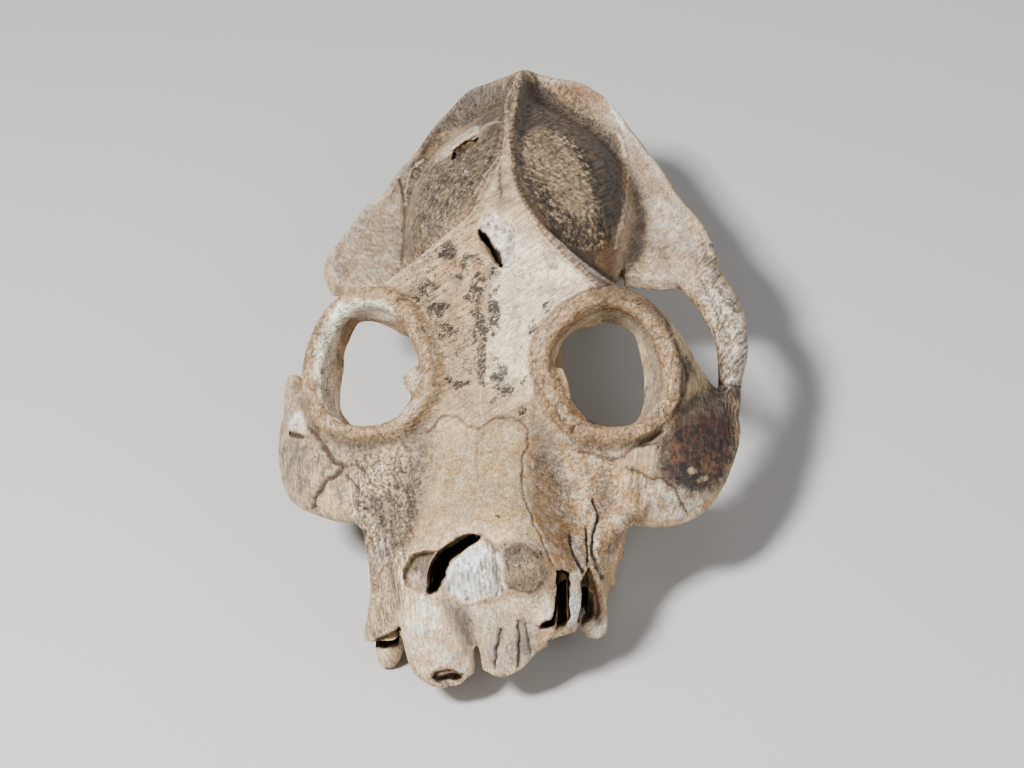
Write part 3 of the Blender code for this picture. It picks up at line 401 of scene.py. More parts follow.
def occiput():
    """The condyles either side of the foramen magnum, and the keel of bone before it."""
    return leaning([
        *both(ball((11.5, 117, 26), (5.2, 6.5, 8), (-25, -18, 20))),
        rod(((0, 56, 27), (0, 85, 24), (0, 108, 22)), ((9.5, 6), (9, 5.5), (7.5, 4.5))),
    ])


def orbit(side):
    """The thick round rim of one orbit, and the plate behind it that closes in from above and outside."""
    around = np.arange(0, 360, 20.0)
    thick = 2.45 + 0.4 * np.cos(np.radians(around - 20))
    ring = rod(rim(side, around), thick, up=tuple(np.array(RIM_BACK) * (side, 1, 1)), closed=True, spans=4)
    arc = np.array((-74, -52, -30, -8, 15, 38, 60, 82, 104, 124.0, 146.0))
    if side > 0:
        closing = np.array((0.6, 3.0, 4.6, 4.9, 4.4, 3.2, 4.0, 5.0, 4.2, 1.4, 0.2))
    else:
        closing = np.array((0.2, 1.2, 3.0, 3.4, 1.8, 0.2, 3.2, 5.6, 5.6, 3.4, 2.0))
    rows = [rim(side, arc, 0, 0.4), rim(side, arc, 4.5, closing * 0.45), rim(side, arc, 9.0, closing)]
    round_face = np.array((112, 140, 168, 196, 222, 246, 268, 290, 308.0))
    fall = np.array((1.6, 1.2, 0.9, 0.7, 1.2, 1.8, 2.4, 3.0, 3.6))
    steps = ((0, 0, 0.6), (3, 0.8, 0.0), (5.5, 2.1, -1.6))
    skirt = [rim(side, round_face, back * fall - lift, -out) for out, back, lift in steps]
    return [ring, sheet(rows, 1.1, 1.1), sheet(skirt, 0.0, 3.2, facing=(0, -0.7, 0.7))]


def cheek(side):
    """The jugal: a deep plate under the orbit, its root on the maxilla and the flare behind the bar."""
    rows = np.array(CHEEK)
    if side > 0:
        rows[3, 1] += (2.2, -1.2, -1.8)
    else:
        rows[3, 2:4] += ((0.9, -0.3, -0.7), (0.4, 0, 0))
    rows[..., 0] *= 1 if side > 0 else -0.975
    plate = sheet(rows, 2.0, 2.0)
    root = ball((31 * side, -25, 30), (8.5, 11, 9), (0, 20 * side, 0))
    corner = ((25 * side, -43.5, 24.4), (31 * side, -38.5, 27.6), (38 * side, -33, 28.6))
    return [plate, root, rod(corner, ((2.4, 3), (2.4, 3), (2, 2.4)))]


def face_wall(side):
    """The hollow slope between the nose and the cheek, from the orbit's lower rim down to the teeth."""
    rows = np.array(FACE)
    rows[:, :3, 0] -= 2.0 * side
    if side < 0:
        rows[3:, 2:, 0] += ((0.5, 1.8, 1.2), (1.5, 2.6, 2.2))
        rows[4, 4] = (28.4, -54, 4.5)
    rows[..., 0] *= side
    return [sheet(rows, 0.0, 8.0)]


def orbit_spurs():
    """The sharp flange of bone that stands into the front of each orbit on its inner side."""
    edges = {
        1: ((16.6, -15.2, 55.2), (18, -17.5, 52), (18.9, -20, 48.8), (23.2, -22.7, 44.2)),
        -1: ((-19.6, -14.5, 55.6), (-22.4, -16.4, 52.8), (-19.8, -19, 50.2), (-23.4, -21.6, 46)),
    }
    roots = np.array((166, 188, 210, 236))
    return [sheet([rim(side, roots, 0.5), edge], 1.0, 1.0) for side, edge in edges.items()]


def cheek_arch():
    """The left arch is whole. On the right only the jugal's blunt end is left of it."""
    bar = rod(
        (
            (55.6, -3, 33), (56.1, 7, 35.8), (56.3, 21.5, 37.8), (53.2, 33, 40.6), (47.2, 44, 43.2),
            (42, 55, 44),
        ),
        ((3.0, 4.8), (3.1, 4.2), (4.3, 4.6), (5.4, 4.8), (6.2, 4.0), (6.2, 3.2)),
    )
    stub = rod(((-52.8, -8, 33), (-54, -1, 35.5), (-54.3, 5, 38)), ((2.8, 4.6), (2.4, 4.2), (2.2, 3.0)))
    return [bar, stub]


def pterygoids():
    """The two thin plates under the base, behind the palate."""
    rows = (
        ((6.8, 14, 33), (6.6, 26, 33), (7.4, 38, 31), (9, 50, 28)),
        ((7.2, 15, 24), (7.2, 26, 23), (8.2, 36, 24), (9, 46, 26)),
        ((8.4, 16, 16), (9.6, 26, 12.5), (10, 33, 15.5), (9.6, 40, 21.5)),
    )
    return both(sheet(rows, 1.3, 1.3))


def nose_tip():
    """The front of the face: swellings over the nose, rough bone between them and the two lobes below."""
    rows = [spline(row, 3)[np.linspace(0, 3 * len(row) - 3, 22).round().astype(int)] for row in NOSE_TIP]
    return [sheet(rows, 0.0, 8.0, facing=(0, -1, 0.3), spans=2)]


def socket_wall():
    """The jaw's edge outside the canine on the skull's right; on the left it is broken away."""
    rows = (
        ((-23, -60.5, 20), (-27.6, -57.5, 20), (-28.4, -50, 21), (-28.2, -40, 22)),
        ((-23, -61.5, 14), (-28.6, -57.5, 13), (-29.6, -50, 14), (-29.4, -40, 14)),
        ((-22.6, -62, 9.6), (-30, -57, 8), (-30.8, -50, 8), (-30, -40, 8.5)),
        ((-24, -61, 7.6), (-31.3, -56, 3.4), (-31.5, -50, 2.6), (-30, -40, 3.4)),
    )
    return [sheet(rows, 0.0, 3.0, facing=(-1, -0.6, 0))]


def cheek_tooth(side, y, length, width, out):
    """A low crown with a cusp at each corner, sunk into the jaw's edge."""
    crown = ball((side * out, y, 5.2), (width * 0.56, length * 0.54, 4.4))
    cusps = [
        ball((side * out + dx * width * 0.3, y + dy * length * 0.27, 2.6), (width * 0.22, length * 0.24, 2.7))
        for dx in (-1, 1) for dy in (-1, 1)
    ]
    root = ((side * out, y, 4.5), (side * (out - 0.5), y, 12))
    neck = rod(root, ((width * 0.5, length * 0.48), (width * 0.42, length * 0.42)), up=(0, 1, 0))
    return [crown, neck, *cusps]


def teeth():
    """The cheek teeth of both sides, and the one whole front tooth."""
    rows = [form for side in (1, -1) for size in CHEEK_TEETH for form in cheek_tooth(side, *size)]
    whole = rod(((-26, -51, 9), (-26, -53.4, -0.4), (-27, -54.6, -5.3)), (2.2, 3.5, 2.0), up=(0, 1, 0))
    return [*rows, whole]


def broken_socket():
    """What stands in the open socket on the skull's left: half a root, its crown and two splinters."""
    shell = rod(
        ((24.4, -50.6, 24), (26.0, -51.4, 17.5), (26.5, -51.8, 11), (25.8, -52, 5.5)),
        ((1.0, 2.2), (1.1, 2.4), (1.0, 2.4), (1.6, 2.4)), up=(0, 1, 0),
    )
    crown = ball((24.2, -52, 5.4), (3.2, 3.0, 3.1), (0, 20, 0))
    inner = rod(
        ((24.2, -49.4, 22), (24.8, -49.6, 14), (24.2, -50, 6)),
        ((1.2, 1.4), (1.9, 1.6), (1.6, 1.6)), up=(0, 1, 0),
    )
    plate = rod(
        ((20.6, -52.6, 25), (20.4, -53.6, 18), (20.1, -54, 12), (19.4, -54.4, 7)),
        ((1.3, 3), (1.5, 3), (1.3, 3), (0.9, 2.4)), up=(0, 1, 0),
    )
    return [shell, crown, inner, plate]


def bone_forms():
    """Every closed form that the bone is melted together from."""
    sides = [form for side in (1, -1) for form in (*orbit(side), *cheek(side), *face_wall(side))]
    return [
        loft(MUZZLE), loft(PILLAR), *brow(), *temporal_lines(), *leaning([loft(BRAINCASE)]),
        *sagittal_crest(), *nuchal_shelf(), *temporal_base(), *occiput(), *sides, *orbit_spurs(),
        *cheek_arch(), *pterygoids(), *nose_tip(), *socket_wall(), *teeth(),
    ]


def hollow_forms():
    """What is cut away: the slot of the nose, the notch under it, the open sockets, the holes in the roof,
    the foramen magnum, the ear and the choanae."""
    nose_slot = rod(
        ((-0.9, -60.2, 39.1), (-4.2, -60.6, 37.9), (-8.2, -61.6, 35.2), (-11, -63, 31.4), (-12.1, -65, 26.8)),
        ((0.9, 6), (1.7, 8), (2.1, 9), (1.6, 8), (0.8, 6)), up=(0.1, -0.9, 0.35),
    )
    notch = rod(((-2.2, -75, 5), (-2.3, -68, 6), (-2.4, -58, 8)), ((1.3, 7.5), (1.1, 7), (0.8, 5)))
    pocket = rod(((-9.0, -73, 1.6), (-8.8, -66, 8)), ((4.2, 1.7), (2.8, 1.4)), up=(0, 1, 0))
    jaw_gap = rod(
        ((18.3, -57, 27.4), (18.0, -57.5, 19), (17.0, -58.5, 13), (13.2, -60.5, 9.8)),
        ((1.2, 9), (1.6, 9), (1.8, 9), (1.1, 7)), up=(0, -1, 0.2),
    )
    jaw_end = ball((21.5, -66, 5.2), (9.6, 11, 10), (0, 30, 0))
    root_gap = rod(
        ((23.2, -54, 24.5), (23.4, -54, 17), (23.0, -54, 5)),
        ((1.6, 7), (3.2, 8), (3.8, 9)), up=(0, -1, 0),
    )
    outer_break = rod(
        ((31.5, -60, 8), (32.2, -48, 7), (33.4, -38, 3), (33.5, -24, -2)),
        ((5.5, 14), (5.5, 14), (5.5, 9), (5, 7)),
    )
    gum_gap = rod(
        ((-29, -60, 2.6), (-25.4, -58, 5.0), (-22, -57, 8.4)),
        ((4, 0.8), (4.5, 1.7), (4, 1.4)), up=(0.3, 0, 1),
    )
    dent = ball((-0.6, 14, 75.8), (5.2, 9, 3.0), (29, 0, 10))
    slit = ((-4.6, 16.2, 76.3), (-2.4, 11.8, 74.6), (0.6, 7.4, 71.6))
    roof_hole = rod(slit, ((0.9, 4), (1.5, 5), (1.4, 4)), up=(0, -0.55, 0.83))
    back_hole = rod(((-19.2, 73.5, 65.8), (-13.6, 78.4, 68.2)), ((1.5, 7), (1.5, 7)), up=(-0.35, -0.2, 0.9))
    foramen = rod(((0, 134, 35), (0, 118, 33), (0, 100, 33)), ((8.5, 8.5), (8.2, 8), (6, 6)))
    choana = rod(((3.3, 30, 21), (3.3, 16, 23), (3.2, 0, 25)), ((2.5, 6), (2.4, 5.5), (2, 3.5)))
    ear = rod(((42, 72, 39.5), (34, 72, 37)), ((2.2, 2.4), (1.4, 1.6)), up=(0, 1, 0))
    return [
        nose_slot, notch, pocket, jaw_gap, jaw_end, root_gap, outer_break, gum_gap, dent, roof_hole,
        back_hole, *both(choana), *leaning([foramen, *both(ear)]),
    ]


def photo_axes():
    """The photo camera's right, up and back directions and its place, in the skull's own frame."""
    high, side, roll = (math.radians(VIEW[key]) for key in ("height", "side", "roll"))
    back = np.array([math.sin(side) * math.cos(high), -math.cos(side) * math.cos(high), math.sin(high)])
    level = unit(np.cross((0, 0, 1), back))
    over = np.cross(back, level)
    right = level * math.cos(roll) + over * math.sin(roll)
    up = over * math.cos(roll) - level * math.sin(roll)
    return right, up, back, np.array(VIEW["target"]) + back * VIEW["distance"]


def in_photo(points):
    """The photo's pixel that each point falls on."""
    right, up, back, place = photo_axes()
    away = points - place
    scale = LENS / SENSOR * WIDTH / -(away @ back)
    return WIDTH / 2 + (away @ right) * scale, HEIGHT / 2 - (away @ up) * scale


def to_world():
    """From the skull's own frame in millimetres to the world in metres."""
    return Matrix.Scale(MM, 4) @ Matrix.Translation(SHIFT) @ Matrix.Rotation(-TILT, 4, "X")


# The directions that the noise below is made of, in a shuffled order that is the same in each run
RANDOM = np.random.default_rng(7)
ORDER = np.concatenate([RANDOM.permutation(256)] * 3)
SLOPES = unit(RANDOM.normal(size=(256, 3)))


def noise(points, scale, seed=0):
    """Smooth noise between about -1 and 1, which changes over scale millimetres."""
    at = points / scale + (seed * 17.13 + 100.5)
    cell = np.floor(at).astype(np.int64)
    part = at - cell
    ease = part**3 * (part * (part * 6 - 15) + 10)
    cell &= 255
    total = np.zeros(len(points))
    for i in (0, 1):
        wx = ease[:, 0] if i else 1 - ease[:, 0]
        hx = ORDER[cell[:, 0] + i]
        for j in (0, 1):
            wy = ease[:, 1] if j else 1 - ease[:, 1]
            hy = ORDER[hx + cell[:, 1] + j]
            for k in (0, 1):
                wz = ease[:, 2] if k else 1 - ease[:, 2]
                slope = SLOPES[ORDER[hy + cell[:, 2] + k]]
                rise = (slope * (part - (i, j, k))).sum(1)
                total += wx * wy * wz * rise
    return total * 1.7


def layered(points, scale, layers=3, seed=0):
    """Noise with finer and weaker noise laid over it."""
    total, weight = 0, 1.0
    for i in range(layers):
        total = total + weight * noise(points, scale / 2**i, seed + 5 * i)
        weight *= 0.55
    return total


def step(low, high, value):
    """Rises smoothly from 0 at low to 1 at high, or falls where high is the smaller."""
    t = np.clip((value - low) / (high - low), 0, 1)
    return t * t * (3 - 2 * t)


def mesh_object(name, forms):
    """One mesh object of several closed forms, in metres."""
    points, faces, start = [], [], 0
    for form_points, form_faces in forms:
        points.append(form_points * MM)
        faces += [tuple(i + start for i in face) for face in form_faces]
        start += len(form_points)
    mesh = bpy.data.meshes.new(name)
    mesh.from_pydata(np.concatenate(points).tolist(), [], faces)
    obj = bpy.data.objects.new(name, mesh)
    bpy.context.scene.collection.objects.link(obj)
    return obj


def melted_skull():
    """The forms melted into one skin with the hollows cut out, as points in millimetres and faces of four."""
    skull = mesh_object("skull", bone_forms())
    hollows = mesh_object("hollows", hollow_forms())
    inner = mesh_object("inner", broken_socket())
    for obj, size in ((skull, GRAIN), (hollows, min(GRAIN, 0.5)), (inner, min(GRAIN, 0.5))):
        melt = obj.modifiers.new("melt", "REMESH")
        melt.mode = "VOXEL"
        melt.voxel_size = size * MM
    for obj, operation in ((hollows, "DIFFERENCE"), (inner, "UNION")):
        cut = skull.modifiers.new(operation.lower(), "BOOLEAN")
        cut.operation = operation
        cut.solver = "MANIFOLD"
        cut.object = obj
    melt = skull.modifiers.new("melt again", "REMESH")
    melt.mode = "VOXEL"
    melt.voxel_size = GRAIN * MM
    bpy.context.view_layer.update()
    done = bpy.data.meshes.new_from_object(skull.evaluated_get(bpy.context.evaluated_depsgraph_get()))
    points = np.empty(len(done.vertices) * 3)
    done.vertices.foreach_get("co", points)
    corners = np.empty(len(done.loops), np.int32)
    done.loops.foreach_get("vertex_index", corners)
    faces = corners.reshape(-1, 4)
    for obj in (skull, hollows, inner):
        bpy.data.objects.remove(obj)
    bpy.data.meshes.remove(done)
    return points.reshape(-1, 3) / MM, faces


class Skin:
    """The skull's surface: its points, faces and normals, and how each point lies to its neighbours."""

    def __init__(self, points, faces):
        self.faces = faces
        pairs = np.concatenate([faces[:, [i, (i + 1) % 4]] for i in range(4)])
        self.edges = np.unique(np.sort(pairs, axis=1), axis=0)
        self.degree = np.bincount(self.edges.ravel(), minlength=len(points))[:, None]
        self.points = points
        self.measure()

    def measure(self):
        """Works out the normals anew."""
        a, b, c, d = (self.points[self.faces[:, i]] for i in range(4))
        across = np.cross(c - a, d - b)
        total = np.zeros_like(self.points)
        for i in range(4):
            for k in range(3):
                total[:, k] += np.bincount(self.faces[:, i], across[:, k], len(total))
        self.normals = unit(total)

    def spread(self, values, times=1, share=1.0):
        """The values averaged with their neighbours', over and over."""
        values = np.array(values, float)
        flat = values.ndim == 1
        values = values.reshape(len(values), -1)
        a, b = self.edges.T
        for _ in range(times):
            mean = np.empty_like(values)
            for k in range(values.shape[1]):
                sums = np.bincount(a, values[b, k], len(values)) + np.bincount(b, values[a, k], len(values))
                mean[:, k] = sums / self.degree[:, 0]
            values += share * (mean - values)
        return values[:, 0] if flat else values

    def ridge(self, times):
        """How far each point stands out of the surface around it, in mm; in a hollow it is negative."""
        return ((self.points - self.spread(self.points, times)) * self.normals).sum(1)

    def fill(self, times, reach, where=1.0):
        """Rounds out the creases where one form meets another, as a fillet does."""
        for _ in range(times):
            short = ((self.spread(self.points, reach) - self.points) * self.normals).sum(1)
            self.points = self.points + self.normals * (np.maximum(short, 0) * where)[:, None]
            self.measure()

    def push(self, out):
        """Moves each point out along its normal by so many millimetres."""
        self.points = self.points + self.normals * np.reshape(out, (-1, 1))
        self.measure()

    def seen_in_photo(self):
        """1 where the photo's camera sees the point, 0 where it lies behind other bone."""
        place = photo_axes()[3]
        tree = BVHTree.FromPolygons(self.points.tolist(), self.faces.tolist())
        ahead = unit(place - self.points)
        facing = (ahead * self.normals).sum(1)
        seen = np.zeros(len(self.points))
        start = self.points + self.normals * 0.5
        for i in np.flatnonzero(facing > 0.02):
            hit = tree.ray_cast(Vector(start[i]), Vector(ahead[i]), 400.0)
            seen[i] = hit[0] is None
        return self.spread(seen, 1)


class Marks:
    """Masks from 0 to 1 laid out in the photo's pixels, on the points that its camera sees."""

    def __init__(self, skin, ragged=1.0):
        self.seen = skin.seen_in_photo()
        x, y = in_photo(skin.points)
        self.x = x + ragged * (1.6 * noise(skin.points, 3.0, 31) + 0.8 * noise(skin.points, 1.1, 32))
        self.y = y + ragged * (1.6 * noise(skin.points, 3.0, 33) + 0.8 * noise(skin.points, 1.1, 34))
        self.kept = {}

    def spot(self, x, y, wide, high, turn=0.0, soft=0.4):
        """An oval about (x, y), turned by turn degrees."""
        c, s = math.cos(math.radians(turn)), math.sin(math.radians(turn))
        across = (self.x - x) * c + (self.y - y) * s
        along = (self.y - y) * c - (self.x - x) * s
        return step(1 + soft, 1 - soft, np.hypot(across / wide, along / high)) * self.seen

    def near(self, line, reach):
        """The seen points that lie about a line."""
        low, high = line.min(0) - reach, line.max(0) + reach
        inside = (self.x > low[0]) & (self.x < high[0]) & (self.y > low[1]) & (self.y < high[1])
        return np.flatnonzero(inside & (self.seen > 0))

    def apart(self, path, closed=False):
        """Distance to a line through pixels, which side of it each point lies, and how far along."""
        if path in self.kept:
            return self.kept[path]
        line = spline(path, 3, closed)
        if closed:
            line = np.concatenate([line, line[:1]])
        best = np.full(len(self.x), 1e9)
        side, along = np.zeros(len(self.x)), np.zeros(len(self.x))
        near = self.near(line, 16)
        px, py = self.x[near], self.y[near]
        gone = 0.0
        for (x0, y0), (x1, y1) in zip(line, line[1:]):
            dx, dy = x1 - x0, y1 - y0
            size = math.hypot(dx, dy)
            t = np.clip(((px - x0) * dx + (py - y0) * dy) / max(size * size, 1e-9), 0, 1)
            off = np.hypot(px - x0 - t * dx, py - y0 - t * dy)
            closer = off < best[near]
            best[near] = np.where(closer, off, best[near])
            side[near] = np.where(closer, np.sign(dx * (py - y0) - dy * (px - x0)), side[near])
            along[near] = np.where(closer, gone + t * size, along[near])
            gone += size
        self.kept[path] = best, side, along
        return self.kept[path]

    def bundle(self, degrees, across, along, seed):
        """Fibres: noise drawn out along one direction of the photo, in pixels."""
        c, s = math.cos(math.radians(degrees)), math.sin(math.radians(degrees))
        u, v = self.x * c + self.y * s, self.y * c - self.x * s
        return noise(np.stack([v / across, u / along, 0 * u], 1), 1.0, seed)

    def stroke(self, path, width, soft=1.2):
        """A band of this half width along a line."""
        return step(width + soft, width - soft * 0.5, self.apart(path)[0]) * self.seen

    def area(self, corners, soft=3.0):
        """The inside of a closed outline."""
        off = self.apart(corners, closed=True)[0]
        line = spline(corners, 3, True)
        near = self.near(line, 16)
        x, y = self.x[near], self.y[near]
        inside = np.zeros(len(near), bool)
        for (x0, y0), (x1, y1) in zip(line, np.roll(line, -1, 0)):
            if y0 != y1:
                inside ^= ((y < y0) != (y < y1)) & (x < x0 + (y - y0) * (x1 - x0) / (y1 - y0))
        mask = np.zeros(len(self.x))
        mask[near] = step(-soft, soft, np.where(inside, off[near], -off[near]))
        return mask * self.seen


def mix(a, b, share):
    """The share of b in a, point by point."""
    share = np.reshape(share, (-1, 1))
    return a * (1 - share) + np.array(b) * share


# The colours that the old bone has, and that painted shade is laid in, from its palest to its darkest
WHITE, BONE, PALE = np.array(((0.92, 0.83, 0.71), (0.62, 0.51, 0.38), (0.92, 0.74, 0.51)))
CREAM, PEACH, PEARL = np.array(((0.56, 0.405, 0.24), (0.90, 0.68, 0.46), (0.39, 0.315, 0.24)))
LILAC, TEETH, NASAL = np.array(((0.47, 0.385, 0.315), (0.42, 0.30, 0.19), (0.49, 0.355, 0.185)))
FAWN, RING, TAN = np.array(((0.39, 0.26, 0.135), (0.29, 0.175, 0.078), (0.41, 0.275, 0.145)))
ASH, GREY, DUST = np.array(((0.31, 0.24, 0.175), (0.23, 0.195, 0.165), (0.20, 0.142, 0.092)))
YELLOW, ORANGE, SLATE = np.array(((0.33, 0.245, 0.135), (0.38, 0.195, 0.072), (0.14, 0.115, 0.094)))
DUSK, RUST, BROWN = np.array(((0.125, 0.096, 0.069), (0.20, 0.10, 0.047), (0.085, 0.050, 0.029)))
CHAR, BLOOD, BLACK = np.array(((0.055, 0.042, 0.036), (0.070, 0.028, 0.020), (0.020, 0.016, 0.015)))
# Painted shade in the hollows, standing also for the dirt there, and the dark of pores and fine cracks
HOLLOW_SHADE_AND_DIRT, PIT = np.array(((0.13, 0.10, 0.075), (0.10, 0.07, 0.05)))
HALO = (0.60, 0.57, 0.56)  # what the bone's colour is multiplied by around a black speck
BEND = (0.0022,) * 3  # m, by which the fine cracks wander


def bone_material(name, grain_along):
    """Old bone. Its colours, and how thick specks and fibres lie on it, come from the mesh.

    The fibres run along grain_along, a direction in the skull's own frame."""
    material = bpy.data.materials.new(name)
    material.use_nodes = True
    tree = material.node_tree
    nodes, links = tree.nodes, tree.links
    shader = nodes["Principled BSDF"]

    def node(kind, inputs=(), **settings):
        made = nodes.new(kind)
        for key, value in settings.items():
            setattr(made, key, value)
        for key, value in dict(inputs).items():
            if isinstance(value, bpy.types.NodeSocket):
                links.new(value, made.inputs[key])
            else:
                made.inputs[key].default_value = value
        return made

    def math_node(operation, *values):
        made = node("ShaderNodeMath", dict(enumerate(values)), operation=operation)
        return made.outputs[0]

    def between(value, low, high, out_low=0.0, out_high=1.0):
        made = node("ShaderNodeMapRange", {0: value, 1: low, 2: high, 3: out_low, 4: out_high})
        made.interpolation_type = "SMOOTHSTEP"
        return made.outputs[0]

    def mixed(share, a, b, blend="MIX"):
        made = nodes.new("ShaderNodeMix")
        made.data_type = "RGBA"
        made.blend_type = blend
        for index, value in ((0, share), (6, a), (7, b)):
            if isinstance(value, bpy.types.NodeSocket):
                links.new(value, made.inputs[index])
            else:
                made.inputs[index].default_value = value if index == 0 else (*value, 1)
        return made.outputs[2]

    def mixed_value(share, a, b):
        return math_node("ADD", a, math_node("MULTIPLY", share, math_node("SUBTRACT", b, a)))

    place = nodes.new("ShaderNodeTexCoord").outputs["Object"]
    tone = node("ShaderNodeAttribute", attribute_name="tone").outputs["Color"]
    speck = node("ShaderNodeAttribute", attribute_name="speck").outputs["Fac"]
    fibre = node("ShaderNodeAttribute", attribute_name="fibre").outputs["Fac"]
    along = unit(np.array(to_world().to_3x3()) @ np.array(grain_along, float))
    side = unit(np.cross(along, (0.31, 0.17, 0.93)))
    parts = []
    for axis, size in ((side, 1.0), (np.cross(along, side), 1.0), (along, 0.07)):
        dot = node("ShaderNodeVectorMath", {0: place, 1: tuple(axis * size)}, operation="DOT_PRODUCT")
        parts.append(dot.outputs["Value"])
    drawn = node("ShaderNodeCombineXYZ", dict(enumerate(parts))).outputs[0]
    parts[2] = math_node("MULTIPLY", parts[2], 6.0)
    leaning = node("ShaderNodeCombineXYZ", dict(enumerate(parts))).outputs[0]

    def cloud(where, scale, detail, rough, distortion=0.0):
        values = {"Vector": where, "Scale": scale, "Detail": detail, "Roughness": rough}
        return node("ShaderNodeTexNoise", {**values, "Distortion": distortion}).outputs["Fac"]

    fine, patch = cloud(place, 2600.0, 4.0, 0.6), cloud(place, 420.0, 6.0, 0.65)
    small, large = cloud(leaning, 2300.0, 4.0, 0.55, 2.0), cloud(leaning, 620.0, 3.0, 0.6, 0.8)
    thread = cloud(drawn, 1500.0, 3.0, 0.55)
    pores = node("ShaderNodeTexVoronoi", {"Vector": place, "Scale": 1500.0, "Randomness": 1.0})
    swirl = node("ShaderNodeTexNoise", {"Vector": place, "Scale": 700.0, "Detail": 3.0}).outputs["Color"]
    bent = node("ShaderNodeVectorMath", {0: swirl, 1: BEND, 2: place}, operation="MULTIPLY_ADD").outputs[0]
    net = node("ShaderNodeTexVoronoi", {"Vector": bent, "Scale": 800.0}, feature="DISTANCE_TO_EDGE")
    craze_here = between(cloud(place, 170.0, 3.0, 0.6), 0.44, 0.60)
    craze = math_node("MULTIPLY", between(net.outputs["Distance"], 0.0, 0.075, 1.0, 0.0), craze_here)

    shade, broad = between(fine, 0.30, 0.70, 0.66, 1.20), between(patch, 0.32, 0.68, 0.82, 1.14)
    shade = math_node("MULTIPLY", shade, broad)
    lines = between(thread, 0.38, 0.60, 0.35, 1.35)
    shade = math_node("MULTIPLY", shade, mixed_value(fibre, 1.0, lines))
    gray = node("ShaderNodeCombineColor", {0: shade, 1: shade, 2: shade}).outputs[0]
    colour = mixed(1.0, tone, gray, "MULTIPLY")
    clouds = math_node("ADD", math_node("MULTIPLY", small, 0.68), math_node("MULTIPLY", large, 0.32))
    over = math_node("SUBTRACT", clouds, between(speck, 0.0, 1.0, 0.70, 0.42))
    black = between(over, 0.0, 0.03)
    dim = mixed(1.0, colour, HALO, "MULTIPLY")
    colour = mixed(between(over, -0.06, 0.0, 0.0, 0.6), colour, dim)
    colour = mixed(math_node("MULTIPLY", black, 0.96), colour, BLACK)
    pore_dark = between(pores.outputs["Distance"], 0.0, 0.30, 0.5, 0.0)
    pore_here = between(large, 0.46, 0.62)
    colour = mixed(math_node("MULTIPLY", pore_dark, pore_here), colour, PIT)
    colour = mixed(math_node("MULTIPLY", craze, 0.75), colour, PIT)
    links.new(colour, shader.inputs["Base Color"])
    links.new(between(patch, 0.35, 0.65, 0.46, 0.72), shader.inputs["Roughness"])
    height = math_node("ADD", math_node("MULTIPLY", fine, 0.35), patch)
    height = math_node("ADD", height, math_node("MULTIPLY", math_node("MULTIPLY", thread, fibre), 1.2))
    height = math_node("SUBTRACT", height, math_node("MULTIPLY", black, 0.12))
    height = math_node("SUBTRACT", height, math_node("MULTIPLY", pore_dark, 0.4))
    height = math_node("SUBTRACT", height, math_node("MULTIPLY", craze, 0.35))
    bump = node("ShaderNodeBump", {"Strength": 0.6, "Distance": 0.0004, "Height": height})
    links.new(bump.outputs[0], shader.inputs["Normal"])
    shader.inputs["Specular IOR Level"].default_value = 0.32
    return material


# Which way the fibres of each bone run, in the skull's own frame
FIBRES = {
    "maxilla_left": (0.25, -0.45, 0.85), "maxilla_right": (0.25, 0.45, -0.85), "jugal_left": (0.1, 0.75, 0.6),
    "jugal_right": (0.1, -0.75, -0.6), "temporal_left": (0.35, 0.9, -0.2), "temporal_right": (0.5, -0.8, 0.2),
    "parietals": (0.3, 0.9, -0.3), "frontal": (0.75, 0.6, 0.2), "nasals": (0, 0.9, 0.35),
}


def build_pieces(skin, tone, speck, fibre):
    """Parts the skin into the bones that the solids have, each with its own material."""
    world = np.array(to_world())
    placed = skin.points @ world[:3, :3].T + world[:3, 3]
    low, high = (np.array(corner) for corner in CAD_BOX)
    placed = np.clip(placed, low, high)
    normals = unit(skin.normals @ world[:3, :3].T)
    names = sorted(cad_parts)
    corners, faces, owner = [], [], []
    for index, name in enumerate(names):
        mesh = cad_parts[name].data
        points = np.empty(len(mesh.vertices) * 3)
        mesh.vertices.foreach_get("co", points)
        start = len(corners)
        corners += points.reshape(-1, 3).tolist()
        for polygon in mesh.polygons:
            faces.append([start + i for i in polygon.vertices])
            owner.append(index)
    tree = BVHTree.FromPolygons(corners, faces)
    middles = placed[skin.faces].mean(1)
    nearest = np.array([owner[tree.find_nearest(Vector(p))[2]] for p in middles])
    for index, name in enumerate(names):
        own = skin.faces[nearest == index]
        used, local = np.unique(own, return_inverse=True)
        mesh = bpy.data.meshes.new(name + "_bone")
        mesh.vertices.add(len(used))
        mesh.vertices.foreach_set("co", placed[used].ravel())
        mesh.loops.add(own.size)
        mesh.loops.foreach_set("vertex_index", local.ravel().astype(np.int32))
        mesh.polygons.add(len(own))
        mesh.polygons.foreach_set("loop_start", np.arange(0, own.size, 4, dtype=np.int32))
        mesh.update(calc_edges=True)
        mesh.polygons.foreach_set("use_smooth", [True] * len(own))
        mesh.normals_split_custom_set_from_vertices(normals[used].tolist())
        colour = mesh.attributes.new("tone", "FLOAT_COLOR", "POINT")
        colour.data.foreach_set("color", np.column_stack([tone[used], np.ones(len(used))]).ravel())
        mesh.attributes.new("speck", "FLOAT", "POINT").data.foreach_set("value", speck[used])
        mesh.attributes.new("fibre", "FLOAT", "POINT").data.foreach_set("value", fibre[used])
        piece = bpy.data.objects.new(name + "_bone", mesh)
        bpy.context.scene.collection.objects.link(piece)
        mesh.materials.append(bone_material("bone_" + name, FIBRES.get(name, (0, 0.4, 0.9))))
        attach(piece, "root")
        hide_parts(name)
        print(name, len(own), "faces")


